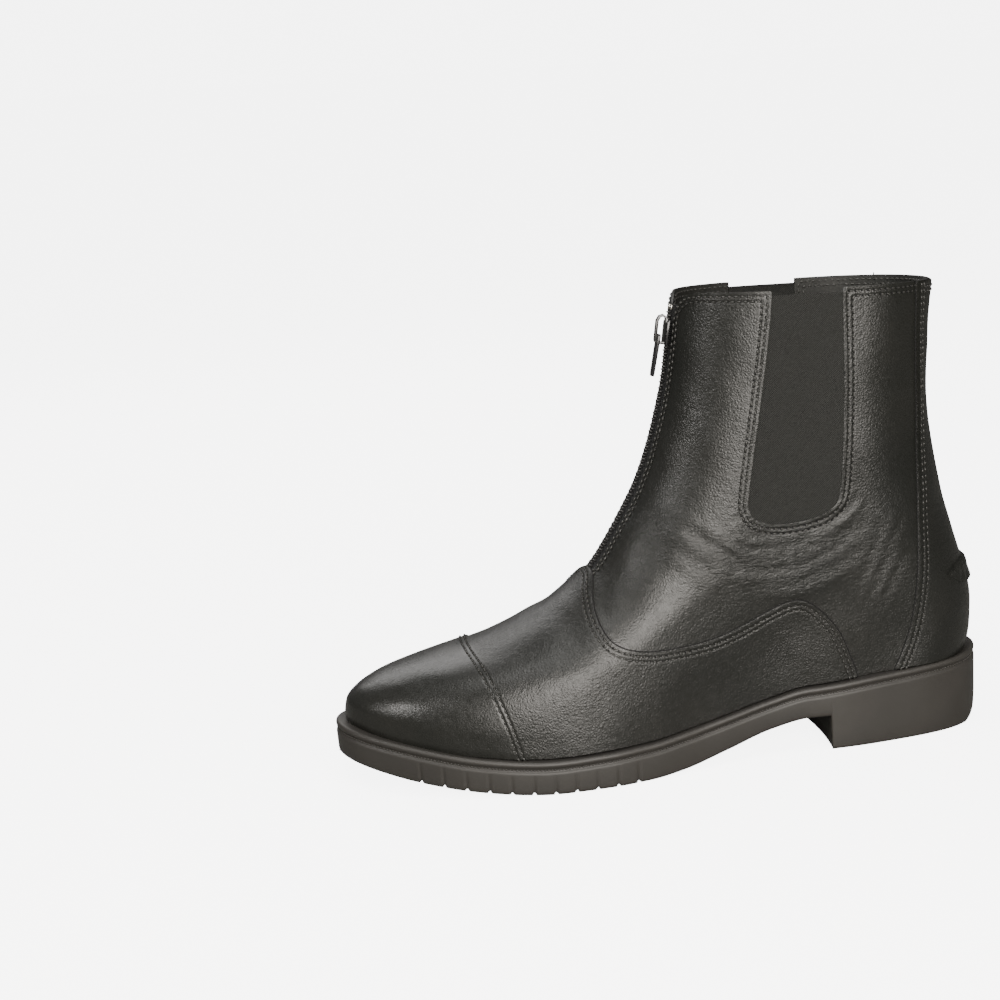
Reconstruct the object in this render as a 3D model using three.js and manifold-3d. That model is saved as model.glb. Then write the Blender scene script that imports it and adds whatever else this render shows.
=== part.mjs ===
// Jodhpur boot, the near one of the photographed pair, standing empty on its sole.
// Millimetres. +X towards the toe, +Y the outer side that faces the camera, +Z up.
// The upper is one function of a place round the boot and a level. Every panel, the
// elastic and the zip are cut from that function, so they follow it when a size changes.
import * as THREE from 'three';
import { mergeVertices } from 'three/addons/utils/BufferGeometryUtils.js';
import Module from 'manifold-3d';

const wasm = await Module();
wasm.setup();

// Driving sizes
const LENGTH = 285;          // outsole, heel to toe
const BALL_WIDTH = 95;       // outsole at the ball of the foot
const HEIGHT = 199.7;         // floor to the collar's front
const SHAFT_WIDTH = 66;      // collar, side to side
const SOLE_THICK = 14.5;     // sole edge at the ball
const ARCH = 15;             // floor to the underside of the waist at the heel's front
const TOE_SPRING = 12.4;     // floor to the sole under the toe tip
const HEEL_LENGTH = 77;      // heel block, back to front
const HEEL_BEVEL = 4;        // rise of the heel's rear bottom edge
const WALL = 2;              // leather and lining of the upper
const GAP = 0.3;             // clearance between neighbouring pieces
const PANEL = 1;             // thickness of the vamp and back panel that lie on the upper
const CAP = 1.7;             // thickness of the toe cap, edge folded
const ELASTIC = 1.2;         // thickness of the elastic
const ZIP_OPENING = 7.2;     // slit in the front of the shaft
const ZIP_TEETH = 4.4;       // width of the coil
const TOOTH_PITCH = 2.6;
const CORNER = 9;            // rounding of the quarters' front corners at the collar
const SPUR_THICK = 1.5;      // folded leather of the spur rest
const TAB_LENGTH = 18.5;     // pull tab, over all
const TAB_WIDTH = 5;
const TAB_THICK = 1.1;
const TAB_LEAN = 12;         // degrees that the tab rests off the vertical, lying on the slider
const BRIDGE_WIDTH = 2.4;    // strip over the slider that carries the tab
const BRIDGE_THICK = 1;

// The tables below hold the photographed boot's millimetres. These carry them over
// to the driving sizes.
const along = (v) => v * LENGTH / 285;
const across = (v) => v * BALL_WIDTH / 95;
const upward = (v) => v * HEIGHT / 199.7;

// Tables
// Plan of the outsole: share of the length from the heel, outer side, inner side.
const PLAN = {
  share: [0, 0.012, 0.035, 0.08, 0.15, 0.25, 0.35, 0.45, 0.55, 0.62, 0.68, 0.75,
    0.82, 0.88, 0.94, 0.98, 1],
  outer: [0, 11.6, 20.2, 27.2, 31.5, 34.1, 33.1, 36.9, 43.8, 47.5, 48.1, 45.8,
    40.3, 33, 22.2, 11.2, -5],
  inner: [0, 12, 21, 29, 32.5, 30.5, 27, 26.5, 32, 39, 44, 46.4, 44.6, 40, 30.4, 20.4, 5],
};
// Side of the outsole: share of the length, share of the arch, of the toe spring and of
// the sole's thickness.
const SIDE = {
  share: [0, 0.1, 0.2, 0.3, 0.36, 0.43, 0.5, 0.56, 0.63, 0.7, 0.8, 0.9, 1],
  arch: [1, 1, 1, 1, 0.8, 0.42, 0.1, 0, 0, 0, 0, 0, 0],
  spring: [0, 0, 0, 0, 0, 0, 0, 0, 0, 0, 0.16, 0.5, 1],
  thick: [1.21, 1.14, 1.05, 0.92, 0.9, 1, 1.09, 1.07, 1.02, 0.99, 1, 1.03, 0.95],
};
// Half widths of the foot of the upper, by place along the boot.
const FOOT = {
  at: [-142, -100, -71, -43, -14, 14, 34, 51, 71, 91, 108, 125, 138],
  outer: [27, 27.5, 29, 28.1, 31.9, 38.8, 42.8, 44, 44.3, 43.9, 42.9, 41.4, 40],
  inner: [27, 27.5, 25.5, 22, 21.5, 27, 33.7, 38.3, 42, 43.4, 43.4, 42, 41],
};
// Levels of the upper from the sole to the collar. The front and back points are where
// the level meets the middle line: place along the boot and rise above the sole's seat.
// Nose and heel are the lengths over which the plan closes at each end. Shaft is how far
// the width has changed from the foot's to the shaft's, follow how much it keeps the
// sole's curve.
const LEVELS = {
  frontAt: [134.6, 135.9, 135.3, 132, 125.3, 114.2, 99.2, 82.2, 65.4, 49.6, 36.8, 27.8,
    19.2, 11.2, 4.6, 0, -4, -7.4, -10, -12.9],
  frontRise: [0, 3.4, 8.4, 13.1, 18.2, 23.9, 29.8, 36.4, 44.5, 52.2, 60.6, 69, 81.2, 93.7,
    105.9, 118.3, 131.7, 146.4, 161.3, 180.2],
  backAt: [-135.9, -137.6, -138.6, -138.8, -138, -136.2, -133.8, -131.3, -129, -126.7,
    -124.8, -123, -121.5, -120.4, -119.9, -120.1, -120.8, -121.4, -122.2, -123.2],
  backRise: [0, 5.1, 13.1, 21.3, 29.3, 36.9, 44.4, 52.5, 60.6, 69.2, 78.3, 87.7, 97.4,
    107.4, 117.4, 127.4, 136.8, 145.6, 154.4, 165.2],
  nose: [95, 95, 94, 92, 90, 88, 86, 82, 78, 72, 66, 60, 55, 51, 48, 46, 45, 44, 44, 44],
  heel: [30, 30, 30, 30, 31, 32, 33, 34, 35, 36, 37, 38, 38, 38, 38, 38, 38, 38, 38, 38],
  shaft: [0, 0.02, 0.06, 0.12, 0.2, 0.3, 0.42, 0.54, 0.66, 0.76, 0.85, 0.92, 0.97,
    1, 1, 1, 1, 1, 1, 1],
  follow: [1, 1, 0.95, 0.85, 0.72, 0.56, 0.4, 0.26, 0.14, 0.06, 0, 0, 0, 0, 0, 0, 0,
    0, 0, 0],
};
const TOP = LEVELS.frontAt.length - 1;
const THROAT = 10.9;         // level at which the zip begins
// Side outlines of the panels: place along the boot and height.
const WING = [[28.9, 85.7], [29.3, 81.6], [31.8, 75.4], [32.6, 68.1], [30.3, 61.1],
  [24.8, 56.4], [13.3, 53.4], [-0.4, 53.2], [-14.2, 54.5], [-27.7, 58.2], [-41.1, 63.8],
  [-50.9, 66.9], [-57.6, 65.8], [-65.4, 59.1], [-71.6, 50.6], [-76.1, 39.9],
  [-79.2, 30.5], [-81, 16.6]];
const CAP_EDGE = [[87, 71.7], [84.8, 55.6], [81.5, 52.6], [78.1, 47.2], [73.5, 35.6],
  [69.7, 23.1], [66, 9.7]];
const BACK_EDGE = [[-110.3, 206.7], [-110.3, 194.7], [-110.6, 167.7], [-110.6, 146.7],
  [-109.4, 125.7], [-108.3, 104.7], [-107.8, 82.7], [-106.7, 65.7], [-104.7, 52],
  [-101.4, 41], [-96, 29.6], [-91, 19.6]];
const GORE = [[-46.3, 206.7], [-45.8, 195.7], [-43.2, 174.7], [-39.9, 154.7],
  [-36.2, 133.7], [-32.9, 115.7], [-32.9, 108.9], [-36.3, 103.9], [-46, 101.2],
  [-59.1, 102], [-67.9, 104.9], [-72.5, 111.2], [-74.3, 130.2], [-75.4, 151.3],
  [-75.8, 172.7], [-76.1, 206.7]];
const SPUR = [[-120.5, 69.7], [-125, 72.9], [-131.4, 73.9], [-150, 70.2], [-150, 61.2],
  [-137.7, 61.9], [-130.3, 63.4], [-124, 66.7]];

// Smooth curve through a table's columns, without overshoot
function curve(xs, ys, x) {
  const n = xs.length;
  if (x <= xs[0]) return ys[0];
  if (x >= xs[n - 1]) return ys[n - 1];
  let i = 0;
  while (x > xs[i + 1]) i += 1;
  const slope = (j) => (ys[j + 1] - ys[j]) / (xs[j + 1] - xs[j]);
  const tangent = (j) => {
    if (j === 0) return slope(0);
    if (j === n - 1) return slope(n - 2);
    const a = slope(j - 1);
    const b = slope(j);
    return a * b <= 0 ? 0 : 2 * a * b / (a + b);
  };
  const h = xs[i + 1] - xs[i];
  const u = (x - xs[i]) / h;
  return ys[i] * (1 + 2 * u) * (1 - u) ** 2 + tangent(i) * h * u * (1 - u) ** 2
    + ys[i + 1] * u * u * (3 - 2 * u) + tangent(i + 1) * h * u * u * (u - 1);
}
const clamp = (v, a, b) => Math.min(b, Math.max(a, v));
const steps = TOP + 1;
const INDEX = Array.from({ length: steps }, (_, i) => i);
const level = (column, k) => curve(INDEX, LEVELS[column], clamp(k, 0, TOP));

// Heights of the sole along the boot
const share = (x) => clamp(x / LENGTH + 0.5, 0, 1);
const under = (x) => ARCH * curve(SIDE.share, SIDE.arch, share(x))
  + TOE_SPRING * curve(SIDE.share, SIDE.spring, share(x));
const seat = (x) => under(x) + SOLE_THICK * curve(SIDE.share, SIDE.thick, share(x));
const SEAT_LIFT = SOLE_THICK - 14.5;

// The upper: round runs 0 at the front, 0.25 outer side, 0.5 back; k is the level
function upper(round, k) {
  const r = ((round % 1) + 1) % 1;
  const side = r <= 0.5 ? 1 : -1;
  const g = (1 - Math.cos(Math.PI * 2 * (r <= 0.5 ? r : 1 - r))) / 2;
  const front = along(level('frontAt', k));
  const back = along(level('backAt', k));
  const shaft = level('shaft', k);
  const x = front + (back - front) * g;
  const foot = across(curve(FOOT.at.map(along), side > 0 ? FOOT.outer : FOOT.inner, x));
  const half = foot * (1 - shaft) + SHAFT_WIDTH / 2 * shaft;
  const bow = (v) => Math.sqrt(Math.max(0, 1 - (1 - clamp(v, 0, 1)) ** 2));
  const y = -across(5) * clamp(x / along(138), 0, 1) ** 1.6 * (1 - shaft)
    + side * half * bow((front - x) / along(level('nose', k)))
      * bow((x - back) / along(level('heel', k)));
  const low = seat(front) + (seat(back) - seat(front)) * g;
  const rise = upward(level('frontRise', k)) * (1 - g) + upward(level('backRise', k)) * g;
  const tilt = upward(2.6) * clamp((k - 14) / 5, 0, 1) * (0.5 - y / SHAFT_WIDTH);
  return new THREE.Vector3(x, y, low + level('follow', k) * (seat(x) - low) + rise - tilt);
}
function skin(round, k, out) {
  const d = 0.004;
  const a = upper(round + d, k).sub(upper(round - d, k));
  const k0 = clamp(k - 0.05, 0, TOP);
  const b = upper(round, clamp(k + 0.05, 0, TOP)).sub(upper(round, k0));
  return upper(round, k).addScaledVector(a.cross(b).normalize(), out);
}

// Solids
const HALF = 80;             // more than half the boot's width, for cutting blocks
function manifold(geometry) {
  const g = geometry.clone();
  g.deleteAttribute('normal');
  if (g.attributes.uv) g.deleteAttribute('uv');
  const m = mergeVertices(g, 1e-4);
  const faces = [];
  for (let i = 0; i < m.index.count; i += 3) {
    const [a, b, c] = [0, 1, 2].map((j) => m.index.getX(i + j));
    if (a !== b && b !== c && c !== a) faces.push(a, b, c);
  }
  return new wasm.Manifold(new wasm.Mesh({
    numProp: 3,
    vertProperties: new Float32Array(m.attributes.position.array),
    triVerts: new Uint32Array(faces),
  }));
}
function fromGrid(points, faces) {
  const g = new THREE.BufferGeometry();
  g.setAttribute('position', new THREE.Float32BufferAttribute(
    points.flatMap((p) => [p.x, p.y, p.z]), 3));
  g.setIndex(faces.flat());
  return manifold(g);
}
// Skin of the upper between two distances from its function, over a range of places
const ROUND = 52;
function leather(inside, outside, from, to, low, high) {
  const whole = to - from >= ROUND;
  const columns = [];
  for (let i = from; i <= (whole ? to - 1 : to); i += 1) columns.push(i / ROUND);
  const rows = [low];
  for (let k = Math.floor(low) + 1; k < high; k += 1) rows.push(k);
  rows.push(high);
  const n = columns.length;
  const m = rows.length;
  const points = [];
  for (const out of [outside, inside]) {
    for (const k of rows) for (const c of columns) points.push(skin(c, k, out));
  }
  const at = (layer, j, i) => layer * n * m + j * n + (i % n);
  const faces = [];
  const quad = (a, b, c, d) => faces.push([a, b, c], [a, c, d]);
  const last = whole ? n : n - 1;
  for (let i = 0; i < last; i += 1) {
    for (let j = 0; j < m - 1; j += 1) {
      quad(at(0, j, i), at(0, j, i + 1), at(0, j + 1, i + 1), at(0, j + 1, i));
      quad(at(1, j, i), at(1, j + 1, i), at(1, j + 1, i + 1), at(1, j, i + 1));
    }
    quad(at(0, 0, i + 1), at(0, 0, i), at(1, 0, i), at(1, 0, i + 1));
    quad(at(0, m - 1, i), at(0, m - 1, i + 1), at(1, m - 1, i + 1), at(1, m - 1, i));
  }
  if (!whole) {
    for (let j = 0; j < m - 1; j += 1) {
      quad(at(0, j, 0), at(0, j + 1, 0), at(1, j + 1, 0), at(1, j, 0));
      quad(at(0, j + 1, n - 1), at(0, j, n - 1), at(1, j, n - 1), at(1, j + 1, n - 1));
    }
  }
  return fromGrid(points, faces);
}
// Block with a side outline, from one place across the boot to another
function sideBlock(outline, y0, y1) {
  const shape = new THREE.Shape(outline.map(([x, z]) => new THREE.Vector2(x, z)));
  const g = new THREE.ExtrudeGeometry(shape, { depth: y1 - y0, bevelEnabled: false });
  g.rotateX(Math.PI / 2);
  g.translate(0, y1, 0);
  return manifold(g);
}
// Outline moved sideways by a distance, to the left of its direction
function shifted(outline, distance) {
  return outline.map(([x, z], i) => {
    const [ax, az] = outline[Math.max(0, i - 1)];
    const [bx, bz] = outline[Math.min(outline.length - 1, i + 1)];
    const l = Math.hypot(bx - ax, bz - az);
    return [x - (bz - az) / l * distance, z + (bx - ax) / l * distance];
  });
}
const placed = (outline) => outline.map(([x, z]) => [along(x), upward(z) + SEAT_LIFT]);

// Plan outline of the outsole as pairs of points, moved inwards by a distance
const PAIRS = 28;
function planPoint(i, side) {
  const a = Math.PI * i / PAIRS;
  const s = (1 - Math.cos(a)) / 2;
  const root = (v) => Math.acos(1 - 2 * v);
  const half = curve(PLAN.share.map(root), side > 0 ? PLAN.outer : PLAN.inner.map((v) => -v), a);
  return [(s - 0.5) * LENGTH, across(half)];
}
function planRing(inset) {
  const ring = [];
  for (let i = 0; i <= PAIRS; i += 1) ring.push(planPoint(i, 1));
  for (let i = PAIRS - 1; i > 0; i -= 1) ring.push(planPoint(i, -1));
  return ring.map(([x, y], i) => {
    const [ax, ay] = ring[(i + ring.length - 1) % ring.length];
    const [bx, by] = ring[(i + 1) % ring.length];
    const l = Math.hypot(bx - ax, by - ay);
    return [x + (by - ay) / l * inset, y - (bx - ax) / l * inset];
  });
}
// Stack of rings closed at both ends by strips across the boot
function stack(rings, pairs) {
  const n = rings[0].length;
  const faces = [];
  for (let j = 0; j < rings.length - 1; j += 1) {
    for (let i = 0; i < n; i += 1) {
      const a = j * n + i;
      const b = j * n + (i + 1) % n;
      faces.push([a, a + n, b + n], [a, b + n, b]);
    }
  }
  for (const [base, turned] of [[0, false], [(rings.length - 1) * n, true]]) {
    for (let i = 0; i < pairs; i += 1) {
      const a = base + i;
      const b = base + i + 1;
      const c = base + (n - i - 1) % n;
      const d = base + (n - i) % n;
      const two = i === 0 ? [[a, b, c]] : i === pairs - 1 ? [[a, b, d]] : [[a, b, c], [a, c, d]];
      for (const f of two) faces.push(turned ? [f[0], f[2], f[1]] : f);
    }
  }
  return fromGrid(rings.flat(), faces);
}

// Outsole: rounded rim, stitch groove, wall and underside in one stack, then the heel
const HEEL_FRONT = -LENGTH / 2 + HEEL_LENGTH;
function outsole() {
  const ring = (inset, height) => planRing(inset)
    .map(([x, y]) => new THREE.Vector3(x, y, height(x)));
  const below = (drop) => (x) => seat(x) - drop;
  const wall = (part) => (x) => under(x) + (seat(x) - 6.4 - under(x)) * part;
  const plate = stack([
    ring(1.1, under), ring(0.1, (x) => under(x) + 0.9), ring(0, wall(0.55)),
    ring(0.25, below(6.2)), ring(1.15, below(5.7)), ring(1.15, below(5.1)),
    ring(0.3, below(4.4)), ring(0, below(2.6)), ring(0.35, below(1.1)),
    ring(1.3, below(GAP)), ring(5, below(GAP)),
  ], PAIRS);
  // The heel block keeps the sole's outline, hollowed a little at its front.
  const back = planRing(0.35).filter(([x]) => x < HEEL_FRONT);
  const outer = back.filter(([, y]) => y >= 0).sort((a, b) => a[0] - b[0]);
  const inner = back.filter(([, y]) => y < 0).sort((a, b) => b[0] - a[0]);
  const wide = [outer[outer.length - 1][1], inner[0][1]];
  const front = [];
  for (let i = 0; i <= 8; i += 1) {
    const v = 1 - i / 4;
    front.push([HEEL_FRONT - 2.7 * (1 - v * v), wide[0] * (1 + v) / 2 + wide[1] * (1 - v) / 2]);
  }
  const outline = [...outer, ...front, ...inner];
  const n = outline.length;
  const points = [];
  for (const top of [0, 1, 2]) {
    for (const [x, y] of outline) {
      const k = top === 0 ? 0.985 : 1;
      const height = top === 2 ? under(x) + 3 : top;
      points.push(new THREE.Vector3(x * k + (1 - k) * (HEEL_FRONT - 35), y * k, height));
    }
  }
  const faces = [];
  for (let j = 0; j < 2; j += 1) {
    for (let i = 0; i < n; i += 1) {
      const a = j * n + i;
      const b = j * n + (i + 1) % n;
      faces.push([a, a + n, b + n], [a, b + n, b]);
    }
  }
  const plane = outline.map(([x, y]) => new THREE.Vector2(x, y));
  for (const [a, b, c] of THREE.ShapeUtils.triangulateShape(plane, [])) {
    const up = THREE.ShapeUtils.area([plane[a], plane[b], plane[c]]) > 0;
    faces.push(up ? [a, c, b] : [a, b, c]);
    const t = 2 * n;
    faces.push(up ? [t + a, t + b, t + c] : [t + a, t + c, t + b]);
  }
  const rear = -LENGTH / 2;
  const bevel = sideBlock([[rear - 9, -3], [rear + HEEL_BEVEL * 2.5, -3],
    [rear + HEEL_BEVEL * 2.5, 0], [rear, HEEL_BEVEL], [rear - 9, HEEL_BEVEL + 3]], -HALF, HALF);
  let solid = plate.add(fromGrid(points, faces)).subtract(bevel);
  // Short tread slots along both lower edges of the forepart
  const slots = [];
  for (const side of [1, -1]) {
    for (let x = along(20); x < along(118); x += along(7)) {
      const i = PAIRS * Math.acos(1 - 2 * share(x)) / Math.PI;
      const [x0, y0] = planPoint(i, side);
      const slot = new THREE.BoxGeometry(1.6, 9, 2.4);
      slot.translate(x0, y0, under(x0));
      slots.push(manifold(slot));
    }
  }
  for (const slot of slots) solid = solid.subtract(slot);
  return solid;
}

// Insole: follows the seat inside the upper's wall
function insole() {
  const ring = (k, lift, inset) => {
    const list = [];
    for (let i = 0; i < ROUND; i += 1) {
      const p = skin(i / ROUND, k, -WALL - inset);
      list.push(new THREE.Vector3(p.x, p.y, seat(p.x) + lift));
    }
    return list.reverse().map((_, i, all) => all[(i + ROUND / 2 - 1 + ROUND) % ROUND]);
  };
  return stack([ring(0, 0, 0.8), ring(0.3, 2, 0.6), ring(0.5, 3, 1.4)], ROUND / 2);
}

// Places along the front middle line, in the side view
function frontLine(from, to, out, count) {
  const list = [];
  for (let i = 0; i <= count; i += 1) {
    const p = skin(0, from + (to - from) * i / count, out);
    list.push([p.x, p.z]);
  }
  return list;
}
const zipBand = (from, to, inside, outside, count) => [
  ...frontLine(from, to, outside, count), ...frontLine(from, to, inside, count).reverse()];

function panels() {
  const wing = placed(WING);
  const edge = placed(CAP_EDGE);
  const backEdge = placed(BACK_EDGE);
  const gore = placed(GORE);
  const far = LENGTH;
  const vampBlock = [...wing, [wing[wing.length - 1][0], -20], [far, -20], [far, wing[0][1]]];
  const behindCap = shifted(edge, -GAP);
  const capBlock = (line) => [...line, [far, line[line.length - 1][1]], [far, line[0][1]]];
  // The slit, and the rounded corners of the quarters at its top
  const slit = zipBand(THROAT, TOP, -9, 7, 16);
  const open = slit.map(([x, z], i) => [x, z + (i === 16 || i === 17 ? 14 : 0)]);
  const slitBlock = sideBlock(open, -ZIP_OPENING / 2, ZIP_OPENING / 2);
  const corner = new THREE.Shape();
  const top = upper(0.02, TOP).z;
  const r = CORNER;
  corner.moveTo(ZIP_OPENING / 2 - 0.5, top + 6);
  corner.lineTo(ZIP_OPENING / 2 - 0.5, top - r);
  for (let i = 0; i <= 6; i += 1) {
    const a = Math.PI / 2 * i / 6;
    corner.lineTo(ZIP_OPENING / 2 + r - r * Math.cos(a), top - r + (r + 0.4) * Math.sin(a));
  }
  corner.lineTo(ZIP_OPENING / 2 + r, top + 6);
  const cornerCut = (mirror) => {
    const g = new THREE.ExtrudeGeometry(corner, { depth: 24, bevelEnabled: false });
    g.rotateX(Math.PI / 2);
    g.rotateZ(Math.PI / 2);
    g.translate(upper(0, TOP).x - 14, 0, 0);
    const m = manifold(g);
    return mirror ? m.mirror([0, 1, 0]) : m;
  };
  const all = leather(-WALL, 0, 0, ROUND, 0, TOP);
  const window = sideBlock(gore, -HALF, HALF);
  const inset = shifted(gore, -GAP);
  const elastic = leather(-0.5 - ELASTIC, -0.5, 0, ROUND, 8, TOP - 0.13);
  const parts = {
    upper: all.subtract(window).subtract(slitBlock).subtract(cornerCut(false))
      .subtract(cornerCut(true)),
    vamp: leather(GAP, GAP + PANEL, -21, 21, 0.3, TOP - 6)
      .intersect(sideBlock(vampBlock, -HALF, HALF))
      .subtract(sideBlock(capBlock(behindCap), -HALF, HALF)),
    toe_cap: leather(GAP, GAP + CAP, -11, 11, 0.3, 9)
      .intersect(sideBlock(capBlock(edge), -HALF, HALF)),
    back_panel: leather(GAP, GAP + PANEL, 17, 35, 0.3, TOP)
      .intersect(sideBlock([...backEdge, [-far, backEdge[backEdge.length - 1][1]],
        [-far, backEdge[0][1]]], -HALF, HALF)),
    elastic_outer: elastic.intersect(sideBlock(inset, 0, HALF)),
    elastic_inner: elastic.intersect(sideBlock(inset, -HALF, 0)),
    spur_rest: leather(GAP * 2 + PANEL, GAP * 2 + PANEL + SPUR_THICK, 20, 32, 3, 7)
      .intersect(sideBlock(placed(SPUR), -HALF, HALF)),
  };
  return parts;
}

// Zip: woven tape in the slit, a toothed coil on it, the slider and its pull tab
const ZIP_END = 18.72;       // levels of the tape's top and the coil's top
const TEETH_END = 18.55;
const SLIDER_LEVEL = 17.8;   // level of the slider's lower end, zip closed
const SLIDER_LENGTH = 10.5;
const onZip = (k, out) => skin(0, k, out);
function zipLength(from, to) {
  let sum = 0;
  for (let i = 0; i < 40; i += 1) {
    const at = (j) => onZip(from + (to - from) * j / 40, 0);
    sum += at(i).distanceTo(at(i + 1));
  }
  return sum;
}
const ZIP_SPAN = zipLength(THROAT, ZIP_END);
function zipTape() {
  const k = THROAT + GAP * 1.4 / ZIP_SPAN * (ZIP_END - THROAT);
  return sideBlock(zipBand(k, ZIP_END, -1.7, -0.5, 16),
    -ZIP_OPENING / 2 + GAP, ZIP_OPENING / 2 - GAP);
}
function zipTeeth() {
  const start = THROAT + 0.12;
  const count = Math.round(zipLength(start, TEETH_END) / TOOTH_PITCH);
  const ridge = [];
  for (let i = 0; i <= count * 2; i += 1) {
    const p = onZip(start + (TEETH_END - start) * i / (count * 2), i % 2 ? 0.8 : 0.25);
    ridge.push([p.x, p.z]);
  }
  const base = frontLine(start, TEETH_END, -0.5 + GAP, 16).reverse();
  return sideBlock([...ridge, ...base], -ZIP_TEETH / 2, ZIP_TEETH / 2);
}
// Place on the slider: up along the zip from its lower end, out from the shaft's front
const LOW = onZip(SLIDER_LEVEL, 0);
const UP = onZip(SLIDER_LEVEL + 0.5, 0).sub(LOW).normalize();
const OUT = new THREE.Vector3(UP.z, 0, -UP.x);
const onSlider = (up, out) => {
  const p = LOW.clone().addScaledVector(UP, up).addScaledVector(OUT, out);
  return [p.x, p.z];
};
const SLIDER_TOP = 1.9;      // outer face of the slider's body, above the shaft's front
const BEND = 1.15;           // the bridge bends round the tab's axis at this radius
const TAB_PLACE = [1.65, 4.5];
const bent = (degrees) => [TAB_PLACE[0] - BEND * Math.cos(degrees * Math.PI / 180),
  TAB_PLACE[1] + BEND * Math.sin(degrees * Math.PI / 180)];
const BRIDGE = [[TAB_PLACE[0] - BEND, SLIDER_TOP - 0.5], [TAB_PLACE[0] - BEND, 3.2],
  bent(0), bent(30), bent(60), bent(90), [9.8, TAB_PLACE[1] + BEND], [11.6, 4.8],
  [12.2, 3.4], [11.4, 2], [SLIDER_LENGTH - 1.4, 1.5]];
const TAB_AXIS = onSlider(...TAB_PLACE);
function slider() {
  const plate = sideBlock([onSlider(-0.2, 1.15), onSlider(0, SLIDER_TOP),
    onSlider(SLIDER_LENGTH - 1, SLIDER_TOP), onSlider(SLIDER_LENGTH, 1.15)].reverse(), -3.9, 3.9);
  const line = BRIDGE.map((p) => onSlider(...p));
  const strip = [...shifted(line, -BRIDGE_THICK / 2), ...shifted(line, BRIDGE_THICK / 2).reverse()];
  return plate.add(sideBlock(strip, -BRIDGE_WIDTH / 2, BRIDGE_WIDTH / 2));
}
function pullTab() {
  const w = TAB_WIDTH / 2;
  const eyeTop = BEND + BRIDGE_THICK / 2 + 0.15;
  const eyeSide = BRIDGE_WIDTH / 2 + 0.4;
  const top = eyeTop + 0.7;
  const end = top - TAB_LENGTH;
  const half = [[0.7 * w, top], [w, top - 0.6], [w, top - 3], [0.82 * w, end + 2],
    [0.6 * w, end + 0.5]];
  const outline = [...half, ...half.map(([y, z]) => [-y, z]).reverse()];
  const shape = new THREE.Shape(outline.map(([y, z]) => new THREE.Vector2(y, z)));
  const eye = [[1, 0.83], [0.85, 1], [-0.85, 1], [-1, 0.83], [-1, -0.83], [-0.85, -1],
    [0.85, -1], [1, -0.83]].map(([y, z]) => new THREE.Vector2(y * eyeSide, z * eyeTop));
  shape.holes.push(new THREE.Path(eye));
  const g = new THREE.ExtrudeGeometry(shape, { depth: TAB_THICK, bevelEnabled: false });
  g.translate(0, 0, -TAB_THICK / 2);
  g.rotateX(Math.PI / 2);
  g.rotateZ(Math.PI / 2);
  g.rotateY(-TAB_LEAN * Math.PI / 180);
  g.translate(TAB_AXIS[0], 0, TAB_AXIS[1]);
  return manifold(g);
}

// Assembly
const LOOKS = {
  outsole: [0x1d1815, 0.75, 0], insole: [0x2a2622, 0.9, 0], upper: [0x121110, 0.45, 0],
  vamp: [0x141210, 0.42, 0], toe_cap: [0x151311, 0.35, 0], back_panel: [0x131110, 0.45, 0],
  elastic_outer: [0x0d0d0d, 0.95, 0], elastic_inner: [0x0d0d0d, 0.95, 0],
  spur_rest: [0x141210, 0.5, 0], zip_tape: [0x0f0f0f, 0.95, 0], zip_teeth: [0x19191a, 0.4, 0],
  zip_slider: [0x1a1a1c, 0.3, 0.9], zip_pull: [0x1a1a1c, 0.3, 0.9],
};
const group = new THREE.Group();
group.name = 'jodhpur_boot';
const solids = {
  outsole: outsole(), insole: insole(), ...panels(), zip_tape: zipTape(),
  zip_teeth: zipTeeth(), zip_slider: slider(), zip_pull: pullTab(),
};
const sole = solids.outsole.boundingBox();
const middle = (sole.min[1] + sole.max[1]) / 2;
for (const [name, solid] of Object.entries(solids)) {
  const mesh = solid.getMesh();
  const g = new THREE.BufferGeometry();
  g.setAttribute('position', new THREE.BufferAttribute(new Float32Array(mesh.vertProperties), 3));
  g.setIndex(new THREE.BufferAttribute(new Uint32Array(mesh.triVerts), 1));
  g.translate(0, -middle, 0);
  g.computeVertexNormals();
  const [color, roughness, metalness] = LOOKS[name];
  const node = new THREE.Mesh(g, new THREE.MeshStandardMaterial({ color, roughness, metalness }));
  node.name = name;
  group.add(node);
}
export default group;
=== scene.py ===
import math
import bpy
import numpy as np
from mathutils import Matrix, Vector, kdtree


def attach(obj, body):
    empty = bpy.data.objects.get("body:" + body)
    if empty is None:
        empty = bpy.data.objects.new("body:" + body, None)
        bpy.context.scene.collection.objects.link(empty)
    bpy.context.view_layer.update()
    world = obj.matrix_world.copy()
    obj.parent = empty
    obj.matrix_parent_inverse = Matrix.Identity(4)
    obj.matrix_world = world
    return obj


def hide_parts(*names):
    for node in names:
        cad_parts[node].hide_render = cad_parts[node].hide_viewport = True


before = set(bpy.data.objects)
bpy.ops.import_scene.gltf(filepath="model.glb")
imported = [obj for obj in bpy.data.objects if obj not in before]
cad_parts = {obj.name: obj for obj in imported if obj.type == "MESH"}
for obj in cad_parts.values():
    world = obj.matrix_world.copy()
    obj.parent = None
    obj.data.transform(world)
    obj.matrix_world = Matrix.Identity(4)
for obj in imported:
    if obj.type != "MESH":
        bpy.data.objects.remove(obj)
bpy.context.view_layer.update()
for old in [o for o in bpy.data.objects if o.type in ("LIGHT", "CAMERA")]:
    bpy.data.objects.remove(old)

# Quarters
# The two leather halves of the shaft and heel sides, cut from smooth black cowhide and
# closed at the back. Their edges are folded and stitched at the collar, along the zip and
# round both elastic windows, and they run on under the other panels.

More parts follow.
